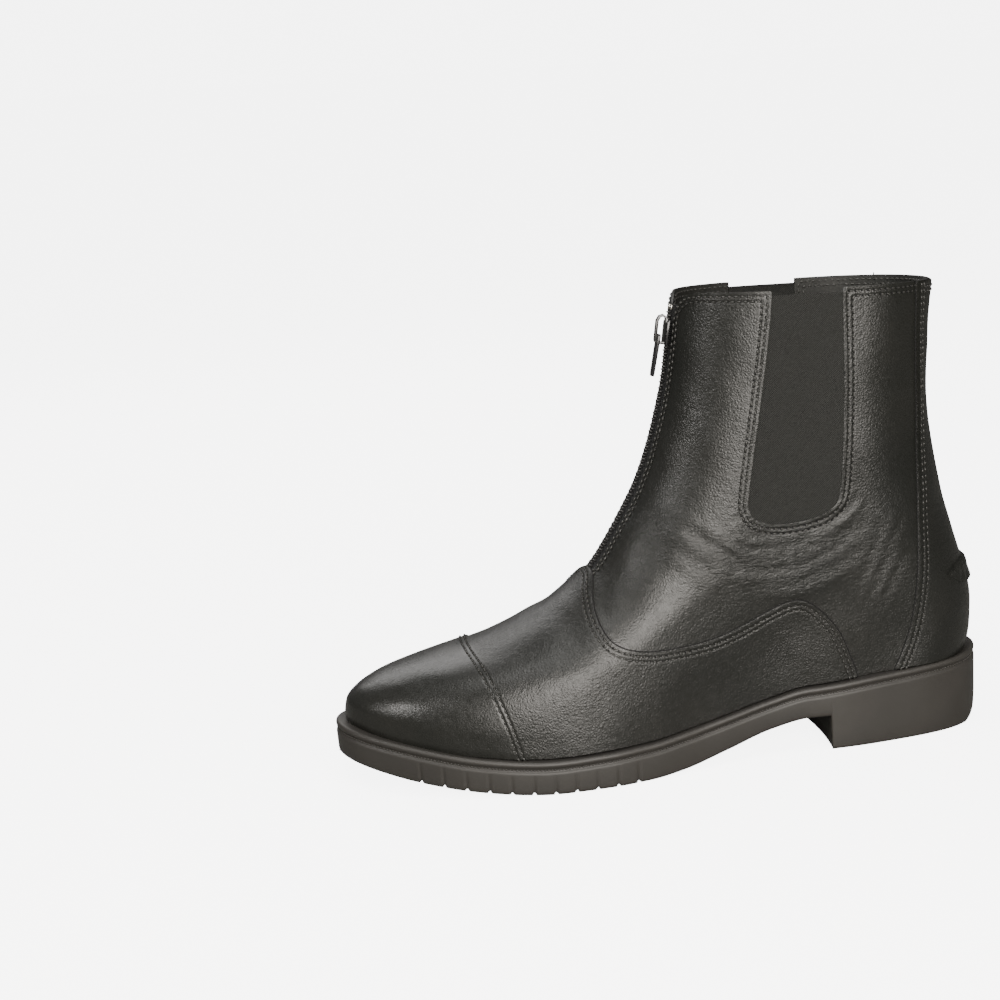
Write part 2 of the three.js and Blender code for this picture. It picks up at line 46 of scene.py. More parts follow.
# The last that all the leather is drawn over, as in the solids, in millimetres: the side of
# the sole along the boot, and the upper as a point for each place round the boot (0 front,
# 0.25 outer side, 0.5 back) and level (0 sole to 19 collar). Meshes are made in metres.
LENGTH, SHAFT = 285.0, 66.0
THICK, ARCH, SPRING = 14.5, 15.0, 12.4
SHIFT = 0.8885                     # the solids are centred across the floor
TOP = 19.0                         # level of the collar
SIDE_S = [0, .1, .2, .3, .36, .43, .5, .56, .63, .7, .8, .9, 1]
SIDE_ARCH = [1, 1, 1, 1, .8, .42, .1, 0, 0, 0, 0, 0, 0]
SIDE_SPRING = [0, 0, 0, 0, 0, 0, 0, 0, 0, 0, .16, .5, 1]
SIDE_THICK = [1.21, 1.14, 1.05, .92, .9, 1, 1.09, 1.07, 1.02, .99, 1, 1.03, .95]
FOOT_X = [-142, -100, -71, -43, -14, 14, 34, 51, 71, 91, 108, 125, 138]
FOOT_OUT = [27, 27.5, 29, 28.1, 31.9, 38.8, 42.8, 44, 44.3, 43.9, 42.9, 41.4, 40]
FOOT_IN = [27, 27.5, 25.5, 22, 21.5, 27, 33.7, 38.3, 42, 43.4, 43.4, 42, 41]
FRONT_X = [134.6, 135.9, 135.3, 132, 125.3, 114.2, 99.2, 82.2, 65.4, 49.6, 36.8, 27.8,
           19.2, 11.2, 4.6, 0, -4, -7.4, -10, -12.9]
FRONT_UP = [0, 3.4, 8.4, 13.1, 18.2, 23.9, 29.8, 36.4, 44.5, 52.2, 60.6, 69, 81.2, 93.7,
            105.9, 118.3, 131.7, 146.4, 161.3, 180.2]
BACK_X = [-135.9, -137.6, -138.6, -138.8, -138, -136.2, -133.8, -131.3, -129, -126.7,
          -124.8, -123, -121.5, -120.4, -119.9, -120.1, -120.8, -121.4, -122.2, -123.2]
BACK_UP = [0, 5.1, 13.1, 21.3, 29.3, 36.9, 44.4, 52.5, 60.6, 69.2, 78.3, 87.7, 97.4, 107.4,
           117.4, 127.4, 136.8, 145.6, 154.4, 165.2]
NOSE = [95, 95, 94, 92, 90, 88, 86, 82, 78, 72, 66, 60, 55, 51, 48, 46, 45, 44, 44, 44]
HEEL = [30, 30, 30, 30, 31, 32, 33, 34, 35, 36, 37, 38, 38, 38, 38, 38, 38, 38, 38, 38]
SHAFTED = [0, .02, .06, .12, .2, .3, .42, .54, .66, .76, .85, .92, .97, 1, 1, 1, 1, 1, 1, 1]
FOLLOW = [1, 1, .95, .85, .72, .56, .4, .26, .14, .06, 0, 0, 0, 0, 0, 0, 0, 0, 0, 0]


def curve(xs, ys, x):
    """Smooth line through the points, which doesn't overshoot them"""
    xs, ys = np.asarray(xs, float), np.asarray(ys, float)
    slope = np.diff(ys) / np.diff(xs)
    tan = np.empty(len(xs))
    tan[0], tan[-1] = slope[0], slope[-1]
    a, b = slope[:-1], slope[1:]
    with np.errstate(all="ignore"):
        tan[1:-1] = np.where(a * b <= 0, 0, 2 * a * b / np.where(a + b == 0, 1, a + b))
    x = np.clip(x, xs[0], xs[-1])
    i = np.clip(np.searchsorted(xs, x, side="right") - 1, 0, len(xs) - 2)
    h = xs[i + 1] - xs[i]
    u = (x - xs[i]) / h
    return (ys[i] * (1 + 2 * u) * (1 - u) ** 2 + tan[i] * h * u * (1 - u) ** 2
            + ys[i + 1] * u * u * (3 - 2 * u) + tan[i + 1] * h * u * u * (u - 1))


def level(table, k):
    """Value at level k of a table that has one for each whole level"""
    return curve(np.arange(len(table)), table, k)


def under(x):
    """Height of the sole's underside: the waist, and the spring of the toe"""
    s = np.clip(x / LENGTH + .5, 0, 1)
    return ARCH * curve(SIDE_S, SIDE_ARCH, s) + SPRING * curve(SIDE_S, SIDE_SPRING, s)


def seat(x):
    """Height of the sole's top, where the upper sits"""
    return under(x) + THICK * curve(SIDE_S, SIDE_THICK, np.clip(x / LENGTH + .5, 0, 1))


def bow(v):
    """Quarter of a circle that rises from 0 to 1"""
    return np.sqrt(np.maximum(0, 1 - (1 - np.clip(v, 0, 1)) ** 2))


def upper(u, k):
    """Points of the last at places u and levels k"""
    r = np.mod(u, 1)
    k = np.clip(k, 0, TOP)
    outer = r <= .5
    g = (1 - np.cos(2 * np.pi * np.where(outer, r, 1 - r))) / 2
    front, back = level(FRONT_X, k), level(BACK_X, k)
    x = front + (back - front) * g
    sh = level(SHAFTED, k)
    foot = np.where(outer, curve(FOOT_X, FOOT_OUT, x), curve(FOOT_X, FOOT_IN, x))
    half = foot * (1 - sh) + SHAFT / 2 * sh
    y = (-5 * np.clip(x / 138, 0, 1) ** 1.6 * (1 - sh) + np.where(outer, 1, -1) * half
         * bow((front - x) / level(NOSE, k)) * bow((x - back) / level(HEEL, k)))
    low = seat(front) + (seat(back) - seat(front)) * g
    rise = level(FRONT_UP, k) * (1 - g) + level(BACK_UP, k) * g
    tilt = 2.6 * np.clip((k - 14) / 5, 0, 1) * (.5 - y / SHAFT)
    return np.stack([x, y, low + level(FOLLOW, k) * (seat(x) - low) + rise - tilt], -1)


def unit(v):
    return v / np.maximum(np.linalg.norm(v, axis=-1, keepdims=True), 1e-9)


def facing(u, k):
    """The way out from the last"""
    a = upper(u + .004, k) - upper(u - .004, k)
    b = upper(u, np.clip(k + .05, 0, TOP)) - upper(u, np.clip(k - .05, 0, TOP))
    return unit(np.cross(a, b))


# Creases, placed from the photograph: side-view points, half width, depth, and
# the height of the soft ridge beside it. Sides: 1 outer, -1 inner, 0 both.
CREASES = [
    ([(-2, 106.2), (-8, 101.2), (-15, 96.7), (-22, 91.2), (-28, 86.2)], 2.2, 0.33, 0.21, 0),
    ([(-12, 95.2), (-20, 88.7), (-32.6, 83.7), (-45.7, 82.2), (-59, 84.5), (-72, 90.7), (-81, 97.7)],
     2.4, 0.42, 0.27, 0),
    ([(-17, 95.7), (-25.6, 90), (-37, 87.1), (-50, 87.2), (-63, 91), (-76.5, 96.7)],
     1.5, 0.27, 0.15, 1),
    ([(-25.8, 96.7), (-33.6, 91.7), (-45.6, 90.6), (-59, 92.2)], 1.8, 0.3, 0.21, 0),
    ([(2, 97.7), (-6, 91.7), (-14, 85.7), (-24, 80.2)], 2.4, 0.24, 0.15, 1),
    ([(-36, 78.2), (-50, 76.5), (-66, 80.7), (-80, 87.7)], 3, 0.3, 0.21, 0),
    ([(6, 111.7), (4.5, 99.7), (7.5, 88.7)], 4.5, 0.6, 0.18, 0),
    ([(23.7, 87.7), (27.6, 78.9), (29.6, 69.7)], 2.6, 0.3, 0.21, 1),
    ([(43, 69.7), (44.5, 60.4), (50, 49.6)], 5, 0.54, 0.3, 0),
    ([(-85, 63.6), (-91, 76.7), (-95.6, 86.7)], 1.5, 0.12, 0.07, 1),
    ([(-90, 59.6), (-96.5, 72.2), (-101.5, 82.7)], 1.6, 0.13, 0.06, 1),
    ([(-93, 85.7), (-98, 93.7), (-102, 100.7)], 1.8, 0.12, 0.06, 0),
    ([(-80, 71.7), (-86, 83.7), (-90, 94.7)], 1.8, 0.13, 0.07, 0),
    ([(-60, 99.2), (-72, 102.7), (-80, 109.7)], 1.6, 0.21, 0.27, 1),
    ([(-28, 105.7), (-32, 98.7), (-40, 95.9)], 1.6, 0.21, 0.3, 1),
    ([(10, 67.7), (-6, 64.2), (-22, 67.7)], 4, 0.21, 0.12, -1),
]


def relief(p, soft=False):
    """Troughs and ridges of the worn-in leather, millimetres out of the form, or, where
    soft, how creased each place is"""
    out = np.zeros(len(p))
    q = p[:, [0, 2]]
    for points, width, depth, ridge, side in CREASES:
        pts = np.array(points, float)
        t = np.linspace(0, len(pts) - 1, (len(pts) - 1) * 8 + 1)
        line = np.stack([curve(np.arange(len(pts)), pts[:, 0], t),
                         curve(np.arange(len(pts)), pts[:, 1], t)], 1)
        far = 5 * width + 2
        near = ((q > line.min(0) - far) & (q < line.max(0) + far)).all(1)
        near &= (np.abs(p[:, 1]) > 3) & ((side == 0) | (np.sign(p[:, 1]) == side))
        if not near.any():
            continue
        s, ab = line[:-1], np.diff(line, axis=0)
        w = q[near][:, None] - s[None]
        h = np.clip((w * ab).sum(2) / np.maximum((ab * ab).sum(1), 1e-9), 0, 1)
        gap = np.linalg.norm(w - h[:, :, None] * ab, axis=2)
        j = gap.argmin(1)
        d = gap.min(1)
        at = (j + h[np.arange(len(j)), j]) / len(s)
        fade = np.sin(np.pi * np.clip(at * .9 + .05, 0, 1)) ** .8
        wave = 1 + .25 * np.sin(at * 9 + points[0][0])
        side_on = fade * np.clip((np.abs(p[near, 1]) - 3) / 6, 0, 1)
        if soft:
            out[near] += side_on * np.exp(-(d / (2.4 * width + 2)) ** 2)
            continue
        out[near] += side_on * (-depth * wave * np.exp(-(d / width) ** 2)
                                + ridge * np.exp(-((d - 2.1 * width) / width) ** 2))
    if soft:
        return np.clip(out, 0, 1.5)
    x, y, z = p.T
    out += .2 * np.sin(x * .09 + z * .05) * np.sin(z * .11 + y * .07)
    out += .1 * np.sin(x * .21 - z * .13 + 1) * np.sin(y * .17 + z * .09)
    return out


# A patch of the last is a triangle mesh whose columns are the place round the boot, the
# level, and any distances that ride along.
def grid(u0, u1, k0, k1, step):
    """Patch from place u0 to u1 and level k0 to k1, with triangles about step millimetres"""
    mid = upper(np.linspace(u0, u1, 200), np.full(200, k0))
    nu = int(np.linalg.norm(np.diff(mid, axis=0), axis=1).sum() / step) + 2
    col = upper(np.full(80, .25), np.linspace(k0, k1, 80))
    nk = int(np.linalg.norm(np.diff(col, axis=0), axis=1).sum() / step) + 2
    u, k = np.meshgrid(np.linspace(u0, u1, nu), np.linspace(k0, k1, nk))
    i = np.arange(nu * nk).reshape(nk, nu)
    a, b, c, d = (i[:-1, :-1].ravel(), i[:-1, 1:].ravel(), i[1:, 1:].ravel(), i[1:, :-1].ravel())
    return np.stack([u.ravel(), k.ravel()], 1), np.concatenate(
        [np.stack([a, b, c], 1), np.stack([a, c, d], 1)])


def crossings(v, f, s):
    """Triangles that s = 0 cuts: the lone corner and the other two, which of the new points
    lie on their edges, and the new points"""
    count = (s[f] > 0).sum(1)
    cross = f[(count == 1) | (count == 2)]
    if not len(cross):
        return None
    over = s[cross] > 0
    lone = np.where((over.sum(1) == 1)[:, None], over, ~over).argmax(1)
    rows = np.arange(len(cross))
    a, b, c = cross[rows, lone], cross[rows, (lone + 1) % 3], cross[rows, (lone + 2) % 3]
    edges = np.sort(np.concatenate([np.stack([a, b], 1), np.stack([a, c], 1)]), 1)
    edges, which = np.unique(edges, axis=0, return_inverse=True)
    which = which.ravel()
    t = s[edges[:, 0]] / (s[edges[:, 0]] - s[edges[:, 1]])
    new = v[edges[:, 0]] * (1 - t[:, None]) + v[edges[:, 1]] * t[:, None]
    return a, b, c, which[:len(a)], which[len(a):], new


def split(v, f, val, iso):
    """Cuts every triangle along val = iso, and returns the finer patch with its values"""
    s = val - iso
    s = np.where(np.abs(s) < 1e-6, 1e-6, s)
    found = crossings(v, f, s)
    if found is None:
        return v, f, val
    a, b, c, ab, ac, new = found
    ab, ac = ab + len(v), ac + len(v)
    count = (s[f] > 0).sum(1)
    whole = f[(count == 0) | (count == 3)]
    f = np.concatenate([whole, np.stack([a, ab, ac], 1), np.stack([ab, b, c], 1),
                        np.stack([ab, c, ac], 1)])
    return np.concatenate([v, new]), f, np.concatenate([val, np.full(len(new), float(iso))])


def trimmed(v, f, dist, isos=(), cut=0.0):
    """The part of a patch where dist is over cut, with extra edges along the isos"""
    v = np.concatenate([v, dist[:, None]], 1)
    val = v[:, -1]
    v, f, val = split(v, f, val, cut)
    f = f[val[f].mean(1) > cut]
    for iso in isos:
        v, f, val = split(v, f, v[:, -1], iso)
    used, inv = np.unique(f, return_inverse=True)
    return v[used], inv.reshape(-1, 3)


def contour(v, f, val, iso):
    """Lines along val = iso on a patch, as lists of its columns"""
    s = val - iso
    s = np.where(np.abs(s) < 1e-7, 1e-7, s)
    found = crossings(v, f, s)
    if found is None:
        return []
    ab, ac, pts = found[3:]
    link = {}
    for i, j in zip(ab, ac):
        link.setdefault(int(i), []).append(int(j))
        link.setdefault(int(j), []).append(int(i))
    lines, seen = [], set()
    for start in sorted(link, key=lambda i: len(link[i])):
        if start in seen:
            continue
        chain, here = [start], start
        seen.add(start)
        while True:
            nxt = [j for j in link[here] if j not in seen]
            if not nxt:
                break
            here = nxt[0]
            seen.add(here)
            chain.append(here)
        if len(chain) > 3:
            if start in link[here] and len(chain) > 8:
                chain.append(start)
            lines.append(pts[chain])
    return lines


def smooth_line(points, per=10):
    """Curve through the points, as a polyline with per pieces to each span"""
    pts = np.array(points, float)
    out = []
    for i in range(len(pts) - 1):
        p0, p1, p2 = pts[max(i - 1, 0)], pts[i], pts[i + 1]
        p3 = pts[min(i + 2, len(pts) - 1)]
        for t in np.linspace(0, 1, per, endpoint=False):
            out.append(.5 * ((2 * p1) + (p2 - p0) * t + (2 * p0 - 5 * p1 + 4 * p2 - p3) * t * t
                             + (3 * p1 - p0 - 3 * p2 + p3) * t ** 3))
    out.append(pts[-1])
    return np.array(out)


def inside(polygon, q):
    """Which side-view points lie in a closed outline"""
    hit = np.zeros(len(q), bool)
    for (x0, z0), (x1, z1) in zip(polygon, np.roll(polygon, -1, 0)):
        if z0 == z1:
            continue
        c = (z0 > q[:, 1]) != (z1 > q[:, 1])
        hit ^= c & (q[:, 0] < (x1 - x0) * (q[:, 1] - z0) / (z1 - z0) + x0)
    return hit


def flat_distance(line, q):
    """Side-view distance to a line"""
    best = np.full(len(q), 1e9)
    for a, b in zip(line[:-1], line[1:]):
        ab = b - a
        t = np.clip(((q - a) @ ab) / max(ab @ ab, 1e-12), 0, 1)
        best = np.minimum(best, np.linalg.norm(q - a - t[:, None] * ab, axis=1))
    return best


def line_distance(lines, p):
    """Distance from each point to the nearest of the lines, in the round"""
    a = np.concatenate([c[:-1] for c in lines])
    b = np.concatenate([c[1:] for c in lines])
    tree = kdtree.KDTree(len(a))
    for i, c in enumerate((a + b) / 2):
        tree.insert(c, i)
    tree.balance()
    best = np.full(len(p), 1e9)
    near = np.array([[i for _, i, _ in tree.find_n(c, 3)] for c in p])
    for j in range(near.shape[1]):
        s, e = a[near[:, j]], b[near[:, j]]
        ab = e - s
        t = np.clip(((p - s) * ab).sum(1) / np.maximum((ab * ab).sum(1), 1e-12), 0, 1)
        best = np.minimum(best, np.linalg.norm(p - s - t[:, None] * ab, axis=1))
    return best


def edge_distance(v, f, line, polygon):
    """Distance over the surface, in millimetres, to the side-view line: positive inside"""
    p = upper(v[:, 0], v[:, 1])
    q = p[:, [0, 2]]
    sign = np.where(inside(polygon, q), 1.0, -1.0)
    rough = sign * flat_distance(line, q)
    soup = [upper(c[:, 0], c[:, 1]) for c in contour(v, f, rough, 0)]
    if not soup:
        return sign * 99
    return sign * line_distance(soup, p)


def boundary(f):
    """Edges that only one triangle has, in its own direction"""
    e = np.concatenate([f[:, [0, 1]], f[:, [1, 2]], f[:, [2, 0]]])
    key = np.sort(e, 1)
    _, idx, count = np.unique(key, axis=0, return_index=True, return_counts=True)
    return e[idx[count == 1]]


def mesh(name, verts, faces, material, top_faces=0, normals=None, extra=()):
    """Object from points in millimetres, whose first top_faces may have own normals"""
    me = bpy.data.meshes.new(name)
    v = np.asarray(verts, float).copy()
    v[:, 1] -= SHIFT
    me.from_pydata((v / 1000).tolist(), [], [tuple(int(i) for i in q) for q in faces])
    me.polygons.foreach_set("use_smooth", np.ones(len(me.polygons), bool))
    for key, data in extra:
        at = me.attributes.new(key, "FLOAT", "POINT")
        at.data.foreach_set("value", np.asarray(data, np.float32))
    me.validate()
    if normals is not None:
        loops = np.zeros(len(me.loops), np.int32)
        me.loops.foreach_get("vertex_index", loops)
        custom = np.zeros((len(me.loops), 3))
        k = top_faces * 3
        custom[:k] = normals[loops[:k]]
        me.normals_split_custom_set(custom.tolist())
    ob = bpy.data.objects.new(name, me)
    bpy.context.scene.collection.objects.link(ob)
    ob.data.materials.append(material)
    return ob


def shell(name, v, f, out, drop, material, side=1):
    """Mesh of a patch raised by out(place, level, distance), its rim turned down to drop"""
    n = len(v)
    d = v[:, 2] if v.shape[1] > 2 else np.full(n, 9.0)

    def at(u, k):
        p = upper(u, k)
        nn = facing(u, k)
        return p + nn * (out(p, d) + relief(p))[:, None]
    u, k = v[:, 0], v[:, 1]
    p = at(u, k)
    du, dk = .0012, .03
    lo, hi = np.clip(k - dk, 0, TOP), np.clip(k + dk, 0, TOP)
    nrm = unit(np.cross(at(u + du, k) - at(u - du, k), at(u, hi) - at(u, lo))) * side
    rim = boundary(f)
    ring = np.unique(rim)
    slot = {int(i): n + j for j, i in enumerate(ring)}
    pr = upper(u[ring], k[ring]) + facing(u[ring], k[ring]) * (
        drop + relief(upper(u[ring], k[ring])))[:, None]
    skirt = [(int(b), int(a), slot[int(a)]) for a, b in rim]
    skirt += [(int(b), slot[int(a)], slot[int(b)]) for a, b in rim]
    verts = np.concatenate([p, pr])
    faces = np.concatenate([f, np.array(skirt)]) if skirt else f
    return mesh(name, verts, faces, material, len(f), nrm,
                [("edge", np.concatenate([d, np.zeros(len(ring))])),
                 ("worn", np.concatenate([relief(upper(u, k), True), np.zeros(len(ring))]))])


def new_material(name):
    """Material with its nodes and its main shader"""
    mat = bpy.data.materials.new(name)
    mat.use_nodes = True
    return mat, mat.node_tree, mat.node_tree.nodes["Principled BSDF"]


def node(nt, kind, **values):
    """Node whose inputs or settings have the values given by name"""
    n = nt.nodes.new(kind)
    for key, value in values.items():
        if key in n.inputs:
            n.inputs[key].default_value = value
        else:
            setattr(n, key, value)
    return n


def calc(nt, operation, *values):
    """Output of a math node, whose inputs are numbers or other outputs"""
    n = node(nt, "ShaderNodeMath", operation=operation)
    for socket, value in zip(n.inputs, values):
        if isinstance(value, (int, float)):
            socket.default_value = value
        else:
            nt.links.new(value, socket)
    return n.outputs[0]


def ramp(nt, factor, dark, pale, start=0.0, end=1.0):
    """Colour that goes from dark to pale as the factor rises from start to end"""
    n = node(nt, "ShaderNodeValToRGB")
    for stop, color, place in zip(n.color_ramp.elements, (dark, pale), (start, end)):
        stop.color, stop.position = (*color, 1), place
    nt.links.new(factor, n.inputs["Fac"])
    return n.outputs["Color"]


def bumped(nt, height, strength, distance, under=None, invert=False):
    """Normal raised by a height, over the normal under it"""
    n = node(nt, "ShaderNodeBump", Strength=strength, Distance=distance, invert=invert)
    nt.links.new(height, n.inputs["Height"])
    if under is not None:
        nt.links.new(under, n.inputs["Normal"])
    return n.outputs["Normal"]


# Leather: a fine grain, a faint green-brown cast and a soft polish. The rows of stitches sit
# in a shallow groove, from the distance to the edge, and the creased places are wrinkled.
ROWS = (1.8, 3.9)                  # rows of stitches, millimetres in from the edge
HIDE_DARK, HIDE_PALE = (.0066, .0072, .0060), (.0118, .0119, .0102)
PORES, GRAIN, CLOUDS, WRINKLES = 800.0, 430.0, 26.0, 270.0      # to the metre
PORE_DEEP, GRAIN_DEEP, WRINKLE_DEEP, GROOVE_DEEP = .0002, .00024, .0006, .0003


def leather(name, rows=ROWS, tone=1.0, rough=.34, pore=1.0):
    """Leather with grooves at the rows, darker or paler by tone, and as grainy as pore"""
    mat, nt, bsdf = new_material(name)
    link = nt.links.new
    tex = node(nt, "ShaderNodeTexCoord").outputs["Object"]
    pores = node(nt, "ShaderNodeTexVoronoi", Scale=PORES, feature="DISTANCE_TO_EDGE")
    grain = node(nt, "ShaderNodeTexNoise", Scale=GRAIN, Detail=6.0, Roughness=.62)
    cloud = node(nt, "ShaderNodeTexNoise", Scale=CLOUDS, Detail=3.0)
    for t in (pores, grain, cloud):
        link(tex, t.inputs["Vector"])
    dark, pale = (tuple(c * tone for c in color) for color in (HIDE_DARK, HIDE_PALE))
    link(ramp(nt, cloud.outputs["Fac"], dark, pale, .3, .75), bsdf.inputs["Base Color"])
    polish = node(nt, "ShaderNodeMapRange")
    for key, value in (("From Min", .3), ("From Max", .7), ("To Min", rough - .05),
                       ("To Max", rough + .07)):
        polish.inputs[key].default_value = value
    link(grain.outputs["Fac"], polish.inputs["Value"])
    link(polish.outputs["Result"], bsdf.inputs["Roughness"])
    bsdf.inputs["Specular IOR Level"].default_value = .5
    lay = node(nt, "ShaderNodeMapping")
    lay.inputs["Scale"].default_value = (1, 1, 2.7)
    lay.inputs["Rotation"].default_value = (0, -.25, 0)
    link(tex, lay.inputs["Vector"])
    fine = node(nt, "ShaderNodeTexNoise", Scale=WRINKLES, Detail=5.0, Roughness=.6,
                Distortion=.7)
    link(lay.outputs[0], fine.inputs["Vector"])
    worn = node(nt, "ShaderNodeAttribute", attribute_name="worn").outputs["Fac"]
    lines = calc(nt, "MULTIPLY", fine.outputs["Fac"], calc(nt, "MULTIPLY_ADD", worn, .9, .12))
    top = bumped(nt, lines, .7, WRINKLE_DEEP)
    top = bumped(nt, pores.outputs["Distance"], .8, PORE_DEEP * pore, top)
    top = bumped(nt, grain.outputs["Fac"], .8, GRAIN_DEEP * pore, top)
    edge = node(nt, "ShaderNodeAttribute", attribute_name="edge").outputs["Fac"]
    groove = None
    for row in rows:
        off = calc(nt, "SUBTRACT", edge, row)
        dip = calc(nt, "EXPONENT", calc(nt, "MULTIPLY", calc(nt, "MULTIPLY", off, off), -3.2))
        groove = dip if groove is None else calc(nt, "ADD", groove, dip)
    if groove is not None:
        top = bumped(nt, groove, .5, GROOVE_DEEP, top, invert=True)
    link(top, bsdf.inputs["Normal"])
    return mat


def rounded(base, thick, radius):
    """Profile of a panel's folded edge"""
    def out(p, d):
        return base + thick * bow(d / radius)
    return out


def below_collar(v):
    """Distance to the collar's edge"""
    at_top = upper(v[:, 0], np.full(len(v), TOP))
    return np.linalg.norm(at_top - upper(v[:, 0], v[:, 1]), axis=1)


ZIP_OPEN, THROAT = 7.2, 10.9       # width of the slit, and the level where it starts
CORNER = 12.0                      # rounding of the collar's front corners
AWAY = 99.0                        # distance that stands for no edge near
NIP = .02                          # a panel stops this far inside its line

GORE = [(-46.3, 213.7), (-45.8, 195.7), (-43.2, 174.7), (-39.9, 154.7), (-36.2, 133.7),
        (-33.2, 115.7), (-32.9, 108.9), (-36.3, 103.9), (-46, 101.2), (-59.1, 102), (-67.9, 104.9),
        (-72.5, 111.2), (-74.3, 130.2), (-75.4, 151.3), (-75.8, 172.7), (-76.1, 213.7)]
gore_line = smooth_line(GORE)


def front_distance(v):
    """Distance to the slit's edges and the rounded collar corners, positive on the leather"""
    p = upper(v[:, 0], v[:, 1])
    y = np.abs(p[:, 1]) - ZIP_OPEN / 2
    top = upper(np.array([.02]), np.array([TOP]))[0, 2]
    low = np.maximum(0, p[:, 2] - (top - CORNER))
    arc = CORNER - np.hypot(np.maximum(0, CORNER - y), low)
    d = np.where((low > 0) & (y < CORNER), arc, y)
    ahead = (v[:, 0] < .2) | (v[:, 0] > .8)
    throat = (THROAT - v[:, 1]) * 11.5
    d = np.where(throat > 0, np.hypot(np.maximum(0, y), throat), d)
    return np.where(ahead, d, AWAY)


def quarter_distance(v, f):
    """Distance to the nearest edge of the quarters: windows, slit and collar"""
    window = -edge_distance(v, f, gore_line, gore_line)
    collar = np.where(v[:, 1] > 12, below_collar(v), AWAY)
    return np.minimum(np.minimum(window, front_distance(v)), collar)


v, f = grid(0, 1, 0, TOP, 1.5)
quarter_field = v, f, quarter_distance(v, f)
qv, qf = trimmed(*quarter_field, (.35, 1.0), NIP)
hide = leather("leather_black")
quarters = shell("quarters", qv, qf, rounded(-.9, .9, 1.0), -1.5, hide)
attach(quarters, "boot")
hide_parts("upper")

# Lining
# Thin black leather inside the shaft and foot, glued to the quarters and turned at the
# collar, where the two edges make one rounded rim.
LINING_IN = 1.1                    # its turned edge lies this far inside the last


def turned(p, d):
    """Profile of the lining, turned out to meet the quarters at its edges"""
    return -LINING_IN - .9 * bow(d)


lining_mat = leather("lining", rows=(), tone=1.5, rough=.62)
v, f = grid(0, 1, .05, TOP, 3.2)
lv, lf = trimmed(v, f, quarter_distance(v, f), (.35, 1.0), NIP)
lining = shell("lining", lv, lf[:, ::-1], turned, -1.0, lining_mat, side=-1)
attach(lining, "boot")

# Vamp
# The leather over the foot, with its swan-neck wing up to the zip and back to the heel,
# lying on the quarters. Its folded edge catches the light, with two rows of stitches.
FOLD = (.12, .35, .8)              # extra edges of the mesh over a folded edge
PANEL, PANEL_FOOT = (-.3, 1.9, 1.0), -.3
UNDER_CAP = 6                      # how far the vamp runs on under the toe cap
WING = [(28.9, 85.7), (29.3, 81.6), (31.8, 75.4), (32.6, 68.1), (30.3, 61.1), (24.8, 56.4),
        (13.3, 53.4), (-.4, 53.2), (-14.2, 54.5), (-27.7, 58.2), (-41.1, 63.8),
        (-50.9, 66.9), (-57.6, 65.8), (-65.4, 59.1), (-71.6, 50.6), (-76.1, 39.9),
        (-79.2, 30.5), (-81, 16.6)]
CAP_EDGE = [(87, 71.7), (84.8, 55.6), (81.5, 52.6), (78.1, 47.2), (73.5, 35.6), (69.7, 23.1),
            (66, 9.7)]
wing_line = smooth_line(WING)
cap_line = smooth_line(CAP_EDGE)
wing_shape = np.concatenate([wing_line, [(-81, -30), (300, -30), (300, 84)]])
cap_shape = np.concatenate([cap_line, [(66, -40), (300, -40), (300, 90), (87, 90)]])
v, f = grid(-.4, .4, .12, 11.6, 1.3)
wing = edge_distance(v, f, wing_line, wing_shape)
cap_in = edge_distance(v, f, cap_line, cap_shape)
vamp_field = v, f, wing
vv, vf = trimmed(v, f, np.minimum(wing, UNDER_CAP - cap_in), FOLD, NIP)
vamp = shell("vamp", vv, vf, rounded(*PANEL), PANEL_FOOT, hide)
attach(vamp, "boot")
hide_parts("vamp")

# Toe cap
# A second layer over the toe, straight across the foot, its rear edge folded and raised
# over the vamp and held by two rows of stitches. It is polished more than the rest.
CAP, CAP_FOOT = (.2, 2.1, 1.0), .2
hide_cap = leather("leather_cap", tone=1.05, rough=.31, pore=.45)
v, f = grid(-.24, .24, .12, 9, 1.5)
cap = edge_distance(v, f, cap_line, cap_shape)
cap_field = v, f, cap
cv, cf = trimmed(v, f, cap, FOLD, NIP)
toe_cap = shell("toe_cap", cv, cf, rounded(*CAP), CAP_FOOT, hide_cap)
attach(toe_cap, "boot")
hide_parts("toe_cap")

# Back panel
# The strip of leather from collar to sole that covers the quarters' back seam and the
# heel stiffener, with a folded edge and two rows of stitches down each side.
BACK_EDGE = [(-110.3, 216.7), (-110.3, 194.7), (-110.6, 167.7), (-110.6, 146.7), (-109.4, 125.7),
             (-108.3, 104.7), (-107.8, 82.7), (-106.7, 65.7), (-104.7, 52), (-101.4, 41),
             (-96, 29.6), (-91, 19.6)]
back_line = smooth_line(BACK_EDGE)
back_shape = np.concatenate([back_line, [(-300, 18), (-300, 215)]])
v, f = grid(.31, .69, .12, TOP, 1.5)
back = edge_distance(v, f, back_line, back_shape)
back_rim = below_collar(v)
back_field = v, f, back
bv, bf = trimmed(v, f, np.minimum(back, back_rim + NIP), FOLD, NIP)
back_panel = shell("back_panel", bv, bf, rounded(*PANEL), -.8, hide)
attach(back_panel, "boot")
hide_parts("back_panel")

